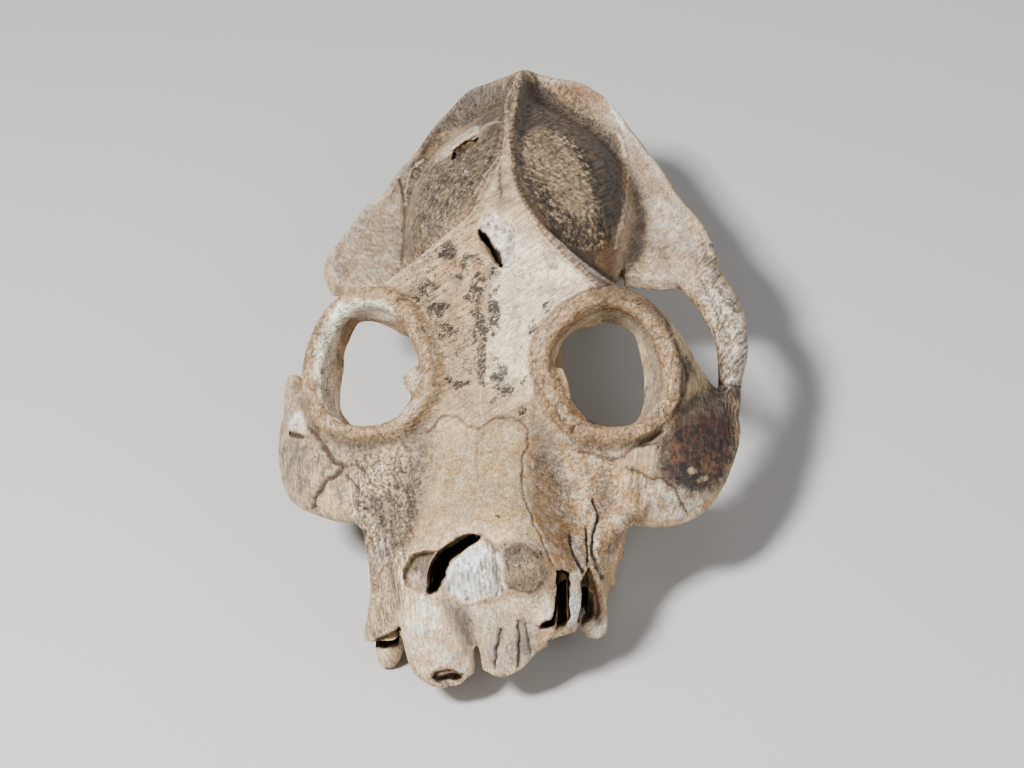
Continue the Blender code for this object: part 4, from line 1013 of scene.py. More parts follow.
def studio():
    """A pale floor, a large soft light from the upper left, a weaker one from the right, and the camera."""
    material = bpy.data.materials.new("floor")
    material.use_nodes = True
    shader = material.node_tree.nodes["Principled BSDF"]
    grain = material.node_tree.nodes.new("ShaderNodeTexNoise")
    grain.inputs["Scale"].default_value = 60.0
    ramp = material.node_tree.nodes.new("ShaderNodeMapRange")
    ramp.inputs[3].default_value = 0.62
    ramp.inputs[4].default_value = 0.70
    material.node_tree.links.new(grain.outputs["Fac"], ramp.inputs[0])
    material.node_tree.links.new(ramp.outputs[0], shader.inputs["Roughness"])
    shader.inputs["Base Color"].default_value = (0.56, 0.555, 0.545, 1)
    mesh = bpy.data.meshes.new("floor")
    mesh.from_pydata([(-3, -3, 0), (3, -3, 0), (3, 3, 0), (-3, 3, 0)], [], [(0, 1, 2, 3)])
    floor = bpy.data.objects.new("floor", mesh)
    floor.location.z = -0.0002
    mesh.materials.append(material)
    bpy.context.scene.collection.objects.link(floor)

    right, up, back, place = (Vector(v) for v in photo_axes())
    turn = to_world().to_3x3().normalized()
    right, up, back = (turn @ v for v in (right, up, back))
    target = to_world() @ Vector(VIEW["target"])
    for name, where, size, power in (
        ("key", back * 0.67 + up * 0.31 - right * 0.43, 0.15, 16.5),
        ("fill", back * 0.70 + up * 0.05 + right * 0.52, 0.50, 3.2),
        ("rim", Vector((0.25, 0.7, 0.5)), 0.40, 0.9),
    ):
        light = bpy.data.lights.new(name, "AREA")
        light.size = size
        light.energy = power
        obj = bpy.data.objects.new(name, light)
        obj.location = target + where
        obj.rotation_euler = where.to_track_quat("Z", "Y").to_euler()
        bpy.context.scene.collection.objects.link(obj)
    world = bpy.data.worlds.new("studio")
    world.use_nodes = True
    world.node_tree.nodes["Background"].inputs[0].default_value = (0.92, 0.94, 1.0, 1)
    world.node_tree.nodes["Background"].inputs[1].default_value = 0.12
    bpy.context.scene.world = world

    camera = bpy.data.objects.new("camera", bpy.data.cameras.new("camera"))
    camera.data.lens = LENS
    camera.data.sensor_width = SENSOR
    camera.data.clip_start = 0.01
    facing = Matrix((right, up, back)).transposed().to_4x4()
    camera.matrix_world = Matrix.Translation(to_world() @ place) @ facing
    bpy.context.scene.collection.objects.link(camera)
    bpy.context.scene.camera = camera


# Gaps that stay sharp where creases are rounded out: x, y and z in the skull's frame, and reach
OPEN_PLACES = (
    (-7, -62, 35, 10), (-2.3, -68, 7, 7), (-9, -70, 4, 7), (18, -57, 18, 12), (24, -53, 12, 9),
    (-26, -57, 4, 8), (-1, 12, 75, 8), (-16, 77, 65, 8), (0, 118, 33, 12), (-35, -40, 25, 7),
    (35, -40, 23, 7),
)
# How often and how far the creases are rounded out, and over how many points the broad hollows and rises
# are judged, for painted shade and painted light, and the fine creases and edges
FILLETS = ((10, 12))
HOLLOW_SHADE_REACH, FINE_CREASE_REACH = 120, 5
STREWN_SEED = 60  # of the noise of the first strewn patch; the next ones count on from it
PLAIN_SPECK, PLAIN_FIBRE = 0.34, 0.42  # how thick specks and fibres lie on plain bone

# The outlines and lines below are in the photo's pixels, and left and right are the photo's.
NOSE_GAP = (
    (480, 538), (473, 536), (464, 540), (456, 545), (449, 550), (441, 553), (436, 561), (431, 569),
    (430, 582), (428, 592), (437, 593), (443, 581), (446, 569), (453, 557), (463, 552), (472, 546),
)
# Gaps, sunk in and painted black as the shadow deep inside them: how deep in mm, and their outline
GAPS = (
    (8.0, NOSE_GAP),
    (9.0, (
        (558, 573), (569, 575), (568, 598), (569, 612), (567, 622), (553, 627), (541, 629), (544, 624),
        (552, 620), (556, 600),
    )),
    (9.0, ((582, 588), (589, 590), (592, 600), (592, 612), (588, 620), (580, 625), (581, 610), (584, 598))),
    (5.0, ((400, 627), (399, 640), (391, 645), (380, 647), (372, 643), (384, 637), (393, 630))),
    (5.0, (
        (478, 230), (486, 236), (494, 246), (500, 255), (503, 267), (498, 264), (493, 258), (490, 249),
        (482, 240),
    )),
    (4.0, ((452, 157), (457, 148), (467, 142), (478, 138), (476, 142), (463, 152), (454, 159))),
    (1.6, ((289, 431), (295, 433), (304, 436), (302, 440), (294, 438), (289, 436))),
)
NOSE_RIM = (
    (428, 594), (409, 588), (403, 576), (407, 563), (418, 553), (437, 552), (448, 546), (460, 538),
    (480, 534), (490, 541), (497, 550), (501, 565), (503, 585), (500, 601), (480, 604), (462, 604),
    (446, 598),
)
LEFT_FACE = ((350, 470), (420, 450), (415, 520), (400, 600), (370, 640), (358, 560))
WHITE_BONE = (
    (482, 541), (490, 547), (498, 554), (503, 563), (502, 574), (505, 586), (498, 598), (489, 594),
    (480, 600), (471, 602), (460, 601), (451, 595), (444, 586), (446, 573), (453, 562), (463, 555),
    (473, 546),
)
LEFT_BULB = ((405, 573), (411, 559), (424, 553), (438, 555), (434, 572), (430, 590), (416, 592), (407, 585))
RIGHT_BULB = (
    (503, 569), (500, 551), (508, 544), (524, 543), (537, 550), (543, 566), (543, 581), (532, 590),
    (520, 590), (509, 586),
)
LOBE_HOLLOW = ((431, 677), (439, 670), (450, 669), (460, 674), (465, 681), (456, 680), (449, 678), (440, 681))
ROOF_PLATE = (
    (479, 218), (487, 214), (496, 213), (503, 221), (512, 229), (517, 240), (515, 252), (511, 265),
    (503, 267), (501, 258), (494, 245), (485, 235), (478, 229),
)
BACK_PLATE = (
    (434, 159), (448, 146), (463, 133), (472, 126), (479, 127), (479, 133), (468, 137), (457, 144),
    (452, 152), (437, 161),
)
LEFT_VAULT = ((418, 165), (455, 155), (484, 136), (498, 140), (495, 160), (462, 212), (420, 250), (411, 240))
RIGHT_VAULT = ((520, 140), (545, 130), (575, 140), (596, 190), (606, 240), (585, 252), (555, 232), (524, 190))
BROW_PATCH = ((541, 251), (548, 250), (554, 253), (560, 263), (559, 270), (552, 270), (546, 263))
TEMPORAL_RIGHT = (
    (519, 73), (511, 91), (506, 106), (507, 125), (509, 141), (510, 158), (512, 177), (517, 191), (525, 207),
    (538, 229), (549, 243), (563, 256), (578, 270), (594, 286),
)
TEMPORAL_LEFT = (
    (505, 121), (504, 142), (500, 163), (490, 177), (479, 197), (472, 214), (454, 229), (436, 244),
    (419, 258), (394, 278),
)
NOSE_SEAM = (
    (529, 433), (528, 446), (523, 458), (523, 470), (524, 490), (527, 503), (534, 522), (541, 536),
    (546, 549), (553, 563), (558, 573),
)
METOPIC = (
    (492, 264), (489, 278), (487, 295), (488, 310), (487, 325), (485, 337), (484, 350), (482, 363),
    (481, 377), (480, 390), (481, 408), (482, 423),
)
BROW_SEAM = (
    (426, 433), (433, 428), (440, 418), (447, 417), (458, 417), (463, 422), (472, 427), (478, 428),
    (487, 423), (495, 418), (505, 417), (513, 418), (522, 422), (528, 430),
)
LEFT_CRACK = (
    (310, 429), (312, 432), (320, 441), (327, 453), (335, 461), (341, 465), (335, 475), (326, 480),
    (320, 489), (314, 499), (313, 508),
)
# Cracks and sutures, and one line of painted shade along an orbit's rim: half width in pixels, depth in mm,
# how dark, and their line
SEAMS = (
    (0.8, 0.30, 0.55, (
        (520, 80), (513, 96), (508, 110), (504, 126), (502, 142), (500, 160), (500, 178), (501, 196),
    )),
    (0.6, 0.20, 0.40, ((514, 84), (506, 104), (500, 124), (496, 144), (488, 164), (478, 182), (466, 200))),
    (0.8, 0.30, 0.45, BROW_SEAM), (0.8, 0.35, 0.25, NOSE_SEAM), (1.8, 0.9, 0.9, LEFT_CRACK),
    (1.0, 0.3, 0.7, (
        (577, 451), (585, 452), (593, 453), (604, 457), (611, 459), (620, 457), (628, 451), (635, 447),
        (644, 444), (656, 442),
    )),
    (1.1, 0.35, 0.8, (
        (627, 467), (640, 473), (652, 478), (660, 478), (667, 483), (675, 488), (679, 496), (683, 505),
        (688, 513),
    )),
    (1.0, 0.3, 0.8, ((555, 406), (556, 412), (559, 417), (562, 421), (567, 421))),
    (1.0, 0.3, 0.8, ((571, 433), (573, 428), (578, 425), (584, 424))),
    (1.3, 0.4, 0.5, ((716, 381), (722, 384), (729, 383), (737, 386), (744, 383))),
    # Painted shade along the inner edge of the right orbit's rim, only slightly dark
    (1.3, 0.3, 0.25, (
        (600, 285), (590, 288), (579, 293), (565, 304), (553, 322), (544, 339), (539, 351), (534, 362),
    )),
    (0.9, 0.3, 0.6, ((311, 330), (317, 335), (322, 333), (328, 338))),
    (0.9, 0.3, 0.6, ((656, 340), (662, 336), (667, 338), (674, 333))),
    (1.1, 0.5, 0.8, ((344, 476), (349, 480), (354, 485), (359, 490))),
    (0.9, 0.35, 0.7, ((350, 464), (357, 465), (364, 471), (371, 480))),
    (1.1, 0.8, 0.6, ((500, 630), (497, 645), (494, 668))),
    (0.9, 0.7, 0.6, ((518, 622), (519, 640), (519, 668))),
    (0.8, 0.5, 0.5, ((526, 625), (528, 638), (531, 653))),
    (1.6, 0.5, 0.15, ((542, 583), (538, 588), (530, 592), (518, 592), (509, 588))),
    (1.0, 0.7, 1.0, ((570, 535), (573, 550), (579, 562), (584, 572))),
    (1.0, 1.0, 1.0, ((587, 528), (588, 542), (589, 555), (588, 565))),
    (1.1, 1.0, 1.0, ((594, 500), (598, 510), (598, 522), (594, 534), (593, 548), (596, 560), (603, 578))),
    (0.6, 0.2, 0.35, ((478, 430), (478, 445), (477, 460), (478, 480))),
    (1.1, 0.4, 0.7, ((401, 180), (404, 200), (403, 232), (401, 262))),
    (1.0, 0.2, 0.45, ((699, 277), (710, 300), (723, 330), (726, 337))),
)
# Raised lines, pale: half width in pixels, height in mm, and their line
RIDGES = (
    (0.8, 0.35, TEMPORAL_RIGHT), (0.8, 0.30, TEMPORAL_LEFT),
    (0.7, 0.25, ((499, 157), (494, 163), (489, 170), (480, 184), (473, 197))), (0.9, 0.15, METOPIC),
    (0.6, 0.12, ((501, 122), (491, 123), (483, 127))),
    (1.8, 0.40, ((615, 132), (620, 138), (623, 146), (625, 156))),
    (1.0, 0.25, ((628, 172), (627, 188), (625, 206))),
    (1.8, 0.40, ((624, 208), (622, 220), (618, 234), (615, 248))),
    (1.2, 0.40, ((423, 160), (414, 168), (409, 178), (406, 192), (405, 205))),
)
# Flat marks, stains and some painted shade: colour, share, softness, density of black specks or None, and
# their outline
STAINS = (
    (LILAC, 0.8, 6, 0.10, (
        (330, 245), (345, 200), (375, 150), (420, 105), (470, 78), (510, 76), (440, 120), (408, 178),
        (402, 232), (400, 275), (352, 296), (335, 275),
    )),
    (LILAC, 0.8, 6, 0.10, (
        (560, 75), (600, 90), (640, 140), (690, 220), (712, 262), (700, 290), (628, 288), (615, 250),
        (628, 200), (622, 140), (580, 100), (545, 80),
    )),
    (CHAR, 0.80, 6, 0.35, (
        (470, 80), (505, 80), (500, 118), (497, 135), (480, 122), (440, 140), (420, 175), (412, 204),
        (409, 232), (414, 252), (404, 250), (402, 232), (405, 195), (412, 165), (430, 125), (450, 97),
    )),
    (DUSK, 0.8, 6, 0.62, (
        (497, 128), (499, 155), (480, 185), (462, 212), (420, 252), (410, 240), (416, 200), (430, 165),
        (452, 155), (480, 134),
    )),
    (CHAR, 0.85, 6, 0.20, (
        (514, 78), (540, 84), (580, 110), (612, 140), (624, 170), (622, 210), (612, 240), (600, 262),
        (608, 290), (570, 262), (540, 222), (520, 185), (514, 140),
    )),
    (YELLOW, 0.85, 7, 0.35, (
        (524, 142), (545, 130), (565, 142), (580, 162), (592, 190), (588, 216), (568, 214), (552, 188),
        (532, 168),
    )),
    (DUSK, 0.75, 6, 0.60, (
        (524, 175), (545, 178), (560, 200), (580, 222), (592, 245), (578, 252), (556, 232), (536, 208),
    )),
    (BLACK, 0.8, 5, 0.2, (
        (560, 135), (585, 150), (602, 190), (612, 232), (604, 240), (594, 215), (590, 180), (572, 150),
    )),
    (RUST, 0.7, 5, 0.3, ((596, 240), (614, 236), (620, 262), (608, 272), (597, 256))),
    (ORANGE, 0.55, 5, None, ((560, 78), (600, 90), (620, 112), (600, 112), (575, 95))),
    (ORANGE, 0.5, 5, None, ((636, 150), (652, 172), (672, 196), (660, 205), (645, 185), (634, 165))),
    (RUST, 0.5, 5, None, ((546, 84), (575, 84), (602, 98), (592, 106), (565, 98))),
    (WHITE, 0.8, 1.5, 0.05, ((604, 92), (612, 98), (622, 118), (627, 132), (620, 128), (610, 106))),
    (WHITE, 0.45, 4, None, ((655, 195), (680, 215), (700, 245), (680, 250), (655, 225))),
    (BROWN, 0.6, 3, None, ((655, 250), (662, 247), (670, 254), (664, 262), (656, 260))),
    (BROWN, 0.55, 3, None, ((372, 250), (380, 247), (388, 252), (380, 257), (372, 255))),
    (BROWN, 0.45, 3, None, ((375, 262), (383, 258), (392, 270), (386, 276), (378, 268))),
    (PALE, 0.9, 4, 0.12, (
        (497, 172), (505, 160), (512, 178), (522, 205), (541, 240), (594, 287), (570, 300), (548, 332),
        (534, 362), (530, 400), (500, 412), (486, 400), (488, 300), (500, 270), (515, 250), (505, 222),
        (480, 214),
    )),
    (CREAM, 0.8, 4, 0.52, (
        (478, 214), (478, 232), (490, 262), (484, 340), (481, 420), (440, 415), (436, 372), (424, 330),
        (410, 300), (396, 284), (436, 247), (456, 230),
    )),
    (TAN, 0.6, 6, 0.22, ((440, 385), (525, 385), (530, 425), (500, 414), (478, 424), (450, 414), (436, 420))),
    (NASAL, 0.85, 6, 0.10, (
        (436, 432), (458, 420), (478, 430), (505, 420), (524, 430), (522, 470), (526, 505), (540, 538),
        (524, 542), (500, 541), (480, 533), (460, 537), (440, 550), (418, 552), (408, 560), (416, 520),
        (430, 480),
    )),
    (CREAM, 0.6, 8, 0.48, (
        (300, 450), (318, 425), (345, 445), (420, 440), (428, 470), (412, 520), (404, 560), (398, 600),
        (372, 640), (360, 600), (352, 520), (315, 515), (300, 505), (286, 480),
    )),
    (CREAM, 0.5, 8, 0.2, (
        (400, 425), (436, 420), (440, 460), (425, 500), (415, 470), (380, 445), (350, 435),
    )),
    (CREAM, 0.7, 5, 0.22, ((316, 512), (322, 492), (345, 478), (352, 495), (345, 512))),
    (CREAM, 0.55, 5, 0.35, ((288, 468), (300, 462), (325, 470), (318, 490), (304, 506), (290, 492))),
    (CHAR, 0.65, 4, 0.5, ((290, 438), (302, 442), (306, 456), (298, 468), (290, 460))),
    (RUST, 0.6, 3, None, ((303, 503), (312, 496), (315, 506), (306, 509))),
    (RUST, 0.6, 3, None, ((320, 440), (327, 446), (330, 456), (323, 450))),
    (ASH, 0.6, 4, 0.15, (
        (286, 381), (290, 378), (299, 381), (303, 400), (300, 414), (290, 420), (284, 440), (287, 405),
    )),
    (WHITE, 0.8, 2, 0.15, (
        (290, 419), (296, 414), (301, 412), (306, 420), (305, 433), (296, 432), (289, 429),
    )),
    (FAWN, 0.75, 8, 0.16, (
        (528, 436), (570, 448), (630, 462), (650, 480), (640, 520), (612, 540), (606, 585), (592, 560),
        (560, 575), (546, 548), (530, 508), (524, 470),
    )),
    # Painted shade in the hollows either side of the nasal dome, in this mark and the next two
    (GREY, 0.6, 7, 0.5, ((532, 446), (548, 452), (562, 480), (568, 520), (560, 525), (544, 505), (532, 480))),
    (DUST, 0.75, 7, 0.3, (
        (536, 512), (548, 512), (566, 530), (572, 556), (566, 566), (552, 552), (540, 532),
    )),
    (DUST, 0.65, 7, 0.45, (
        (424, 440), (432, 470), (424, 505), (408, 545), (398, 556), (402, 520), (410, 480),
    )),
    (GREY, 0.55, 6, 0.5, ((286, 450), (304, 446), (314, 470), (304, 492), (290, 486))),
    (ORANGE, 0.65, 5, None, ((588, 462), (606, 464), (612, 478), (604, 506), (597, 500), (592, 480))),
    (ORANGE, 0.5, 5, None, ((560, 520), (574, 530), (570, 560), (556, 570), (550, 552))),
    (DUSK, 0.6, 6, 0.4, ((615, 510), (640, 505), (655, 512), (640, 525), (618, 545), (606, 560), (604, 530))),
    (CREAM, 0.8, 4, 0.25, ((628, 452), (656, 444), (660, 478), (640, 472), (627, 464))),
    (SLATE, 0.6, 5, 0.2, ((624, 446), (646, 436), (668, 428), (660, 440), (640, 447))),
    (CREAM, 0.65, 5, 0.3, (
        (640, 480), (662, 480), (680, 498), (700, 494), (706, 505), (694, 520), (668, 518), (650, 520),
        (645, 500),
    )),
    (DUSK, 0.9, 5, 0.5, ((714, 390), (736, 394), (738, 430), (716, 432), (696, 420), (682, 424), (690, 398))),
    (DUSK, 0.8, 7, 0.55, (
        (656, 436), (668, 424), (684, 405), (704, 388), (734, 388), (744, 410), (740, 450), (728, 480),
        (708, 494), (688, 492), (670, 486), (656, 470),
    )),
    (BLOOD, 0.85, 9, 0.55, (
        (664, 434), (684, 420), (712, 415), (735, 420), (734, 458), (722, 476), (707, 487), (688, 486),
        (675, 483), (664, 472),
    )),
    (SLATE, 0.6, 4, 0.7, ((676, 470), (700, 468), (708, 486), (690, 490), (676, 482))),
    (RUST, 0.6, 4, 0.4, ((668, 440), (690, 448), (688, 462), (670, 458))),
    (RUST, 0.5, 4, 0.4, ((700, 455), (718, 452), (722, 468), (706, 474))),
    (CREAM, 0.9, 1, 0.0, ((688, 469), (696, 468), (697, 472), (690, 474))),
    (CREAM, 0.9, 1, 0.0, ((698, 478), (706, 475), (706, 480), (699, 482))),
    (CREAM, 0.8, 1, 0.0, ((664, 453), (671, 453), (670, 457), (663, 461))),
    (CREAM, 0.8, 1, 0.0, ((719, 477), (722, 478), (720, 481))),
    (TAN, 0.6, 3, None, (
        (733, 398), (740, 400), (739, 440), (728, 478), (706, 512), (700, 515), (720, 482), (732, 440),
    )),
    (PEARL, 0.85, 4, 0.16, (
        (690, 278), (712, 262), (735, 300), (748, 350), (744, 378), (718, 380), (722, 350), (712, 318),
        (698, 295),
    )),
    (SLATE, 0.45, 3, 0.3, (
        (700, 236), (712, 255), (733, 295), (742, 330), (732, 320), (716, 280), (700, 252),
    )),
    (DUSK, 0.75, 7, 0.45, LEFT_BULB), (DUST, 0.80, 13, 0.55, RIGHT_BULB),
    # Painted shadow of the right swelling over the nose, along its upper left edge
    (DUSK, 0.70, 5, 0.55, (
        (504, 556), (514, 547), (528, 548), (536, 556), (524, 560), (512, 568), (506, 572),
    )),
    (WHITE, 0.95, 1.5, 0.12, WHITE_BONE),
    (BONE, 0.75, 4, 0.1, (
        (431, 594), (446, 598), (462, 604), (480, 606), (498, 602), (512, 600), (500, 622), (484, 640),
        (478, 642), (474, 655), (470, 672), (462, 650), (452, 628), (440, 606),
    )),
    (PEACH, 0.8, 5, 0.10, (
        (402, 600), (420, 596), (436, 604), (448, 622), (460, 645), (468, 676), (440, 668), (424, 676),
        (408, 650), (400, 625),
    )),
    (GREY, 0.55, 4, None, ((424, 634), (434, 630), (440, 645), (432, 652), (424, 646))),
    (PEACH, 0.7, 4, 0.12, (
        (508, 594), (530, 594), (546, 590), (552, 600), (552, 618), (540, 625), (520, 616), (506, 610),
    )),
    (PEARL, 0.8, 3, 0.2, (
        (500, 622), (520, 618), (536, 628), (532, 655), (518, 668), (494, 672), (482, 655), (488, 640),
    )),
    (ORANGE, 0.4, 3, None, ((538, 630), (560, 622), (556, 630), (540, 642))),
    (WHITE, 0.9, 1.5, 0.12, (
        (571, 575), (580, 572), (580, 590), (581, 608), (577, 622), (569, 625), (569, 600),
    )),
    (WHITE, 0.85, 1.5, 0.15, ((574, 535), (579, 545), (583, 557), (586, 568), (578, 570), (573, 552))),
    (WHITE, 0.85, 1.5, 0.15, (
        (591, 509), (596, 520), (599, 534), (598, 552), (604, 580), (598, 572), (594, 550), (593, 530),
    )),
    (RUST, 0.9, 2, 0.2, ((592, 588), (597, 584), (601, 590), (602, 608), (600, 616), (594, 610), (591, 598))),
    (WHITE, 0.7, 3, 0.0, ((582, 620), (606, 618), (604, 632), (597, 638), (586, 630))),
    (RUST, 0.5, 3, None, ((596, 612), (606, 610), (606, 622), (598, 624))),
    (CREAM, 0.9, 2, 0.0, ((376, 646), (402, 640), (402, 652), (392, 667), (382, 665))),
    (WHITE, 0.6, 3, 0.05, ((379, 540), (391, 538), (390, 556), (384, 562), (378, 556))),
    (BONE, 0.9, 2, 0.12, BACK_PLATE), (WHITE, 0.75, 2, 0.22, ROOF_PLATE),
    (GREY, 0.5, 2, None, ((508, 228), (516, 238), (514, 252), (508, 262), (504, 262), (506, 246))),
    (LILAC, 0.85, 1, 0.1, BROW_PATCH),
    (ORANGE, 0.4, 7, None, ((500, 276), (516, 274), (520, 290), (504, 296))),
    (TAN, 0.5, 4, None, ((496, 176), (500, 190), (498, 212), (508, 216), (514, 205), (508, 182))),
    (GREY, 0.55, 3, None, ((502, 163), (506, 180), (502, 200), (498, 212), (496, 196), (499, 178))),
)
# Marks over the rims, stains among them, with painted shadows in gaps beside the rims and under the brow's
# edge, painted shade under the rims and on an orbit's floor, and painted light on an orbit's shaded inner
# wall: colour, share, softness, and their outline
SHADES = (
    (BROWN, 0.75, 4, (
        (590, 285), (620, 285), (650, 295), (670, 320), (665, 330), (645, 310), (620, 302), (596, 300),
    )),
    # Painted light: the inner wall of the left orbit, which lies in shade, painted bright
    ((1.0, 0.80, 0.62), 0.95, 3, (
        (345, 300), (385, 303), (395, 320), (350, 318), (338, 345), (336, 375), (342, 420), (325, 405),
        (315, 380), (318, 340), (330, 315),
    )),
    (PEARL, 0.6, 3, (
        (585, 310), (640, 322), (655, 350), (662, 390), (655, 415), (640, 415), (648, 380), (645, 350),
        (630, 328), (600, 318),
    )),
    # Painted shadow in the gap beside the right orbit's rim
    (BLACK, 0.9, 2, (
        (660, 313), (668, 324), (675, 340), (684, 360), (689, 374), (687, 390), (681, 405), (671, 420),
        (668, 424), (676, 405), (680, 392), (681, 372), (677, 354), (671, 336), (664, 323),
    )),
    # Painted shadow under the raised edge of the brow on the right
    (BLACK, 0.85, 2.5, (
        (540, 219), (567, 246), (586, 261), (607, 272), (619, 284), (594, 286), (577, 269), (557, 251),
    )),
    (BLACK, 0.9, 1.5, ((532, 72), (538, 78), (540, 86), (536, 88), (533, 80))),
    (DUSK, 0.8, 2, (
        (514, 76), (509, 90), (505, 108), (503, 125), (501, 140), (497, 156), (492, 166), (488, 160),
        (496, 140), (499, 120), (502, 100), (508, 80),
    )),
    # Painted shade under the rims of the two orbits, in this mark and the next
    (DUSK, 0.6, 4, (
        (326, 432), (345, 438), (372, 440), (400, 434), (416, 424), (420, 432), (404, 444), (372, 450),
        (345, 448), (328, 440),
    )),
    (DUSK, 0.6, 4, (
        (580, 440), (612, 442), (640, 436), (664, 424), (668, 430), (642, 446), (612, 452), (582, 448),
    )),
    (BROWN, 0.6, 3, ((303, 398), (310, 415), (322, 430), (318, 436), (306, 424), (299, 404))),
    # Painted shadow of the right swelling over the nose, at its upper left edge
    (CHAR, 0.6, 3, (
        (502, 556), (510, 546), (524, 544), (538, 552), (532, 552), (520, 552), (510, 558), (506, 570),
    )),
    (BLACK, 0.6, 2, (
        (612, 132), (617, 140), (620, 156), (622, 172), (621, 206), (617, 222), (611, 240), (607, 240),
        (612, 215), (615, 180), (613, 150), (608, 138),
    )),
    (GREY, 0.65, 2, ((498, 630), (506, 627), (501, 648), (495, 664), (489, 654))),
    (GREY, 0.65, 2, ((518, 622), (527, 626), (532, 650), (525, 662), (519, 652))),
    (GREY, 0.5, 3, ((444, 606), (456, 610), (468, 626), (476, 650), (470, 664), (462, 648), (452, 628))),
    (BROWN, 0.5, 3, ((562, 520), (574, 536), (580, 560), (574, 574), (566, 560), (558, 536))),
    # Painted shade on the floor of the right orbit, in a red-brown
    (RUST, 0.7, 2, ((566, 398), (576, 404), (590, 415), (606, 420), (604, 428), (588, 425), (574, 415))),
    (BONE, 0.85, 2, ((416, 398), (420, 404), (410, 414), (401, 422), (396, 418), (404, 408))),
    (BONE, 0.7, 1.5, ((407, 367), (417, 369), (420, 378), (414, 390), (409, 378))),
    (BROWN, 0.6, 2, ((733, 383), (741, 386), (742, 398), (736, 400), (732, 392))),
    (GREY, 0.6, 1.5, ((568, 437), (574, 436), (577, 440), (571, 442))),
    (ORANGE, 0.5, 2, ((607, 480), (612, 484), (605, 508), (600, 506))),
    (ORANGE, 0.5, 2, ((700, 505), (707, 500), (711, 503), (704, 510))),
    (GREY, 0.5, 2, ((700, 490), (708, 489), (709, 497), (702, 497))),
    (CHAR, 0.6, 7, (
        (585, 118), (604, 130), (617, 150), (620, 180), (616, 215), (606, 225), (606, 185), (598, 150),
    )),
    (TAN, 0.6, 7, (
        (502, 128), (509, 150), (517, 175), (531, 200), (547, 226), (530, 240), (517, 226), (494, 210),
        (474, 236), (466, 232), (484, 196), (495, 160),
    )),
    (ASH, 0.5, 2, ((499, 172), (503, 172), (504, 212), (497, 212))),
    (CHAR, 0.55, 7, ((358, 492), (378, 500), (398, 505), (404, 545), (388, 545), (374, 525), (362, 508))),
    (TAN, 0.45, 6, ((366, 575), (396, 560), (402, 600), (374, 640), (366, 610))),
    (TAN, 0.35, 8, ((440, 396), (520, 396), (524, 418), (480, 424), (436, 418))),
    (ASH, 0.45, 6, ((284, 440), (300, 444), (310, 470), (306, 495), (290, 490), (282, 465))),
    (SLATE, 0.35, 6, ((452, 96), (474, 88), (498, 86), (496, 118), (470, 126), (448, 120))),
    (TAN, 0.40, 4, ((338, 286), (362, 284), (394, 290), (398, 302), (370, 298), (344, 302))),
)
# Clusters of black specks on the brow: centre, half length and half width in pixels, turn
CLUSTERS = (
    (449, 250, 9, 5, -50), (463, 272, 12, 7, -60), (429, 284, 12, 5, -55), (419, 297, 8, 3, -40),
    (469, 296, 13, 7, 80), (477, 284, 15, 7, 85), (438, 309, 12, 4, -25), (423, 321, 10, 4, -45),
    (478, 300, 32, 5, 90), (494, 305, 36, 4, 88), (482, 345, 30, 3, 92), (436, 376, 9, 4, 0),
    (463, 385, 9, 3, -20), (444, 380, 6, 3, 10), (498, 377, 10, 4, -60), (508, 388, 6, 3, -60),
    (535, 330, 14, 4, -60), (531, 380, 8, 4, -20), (493, 400, 8, 4, -60), (540, 350, 8, 3, -60),
    (548, 305, 10, 3, -70), (521, 410, 5, 3, -60), (428, 340, 10, 3, 70), (450, 330, 12, 7, -30),
)
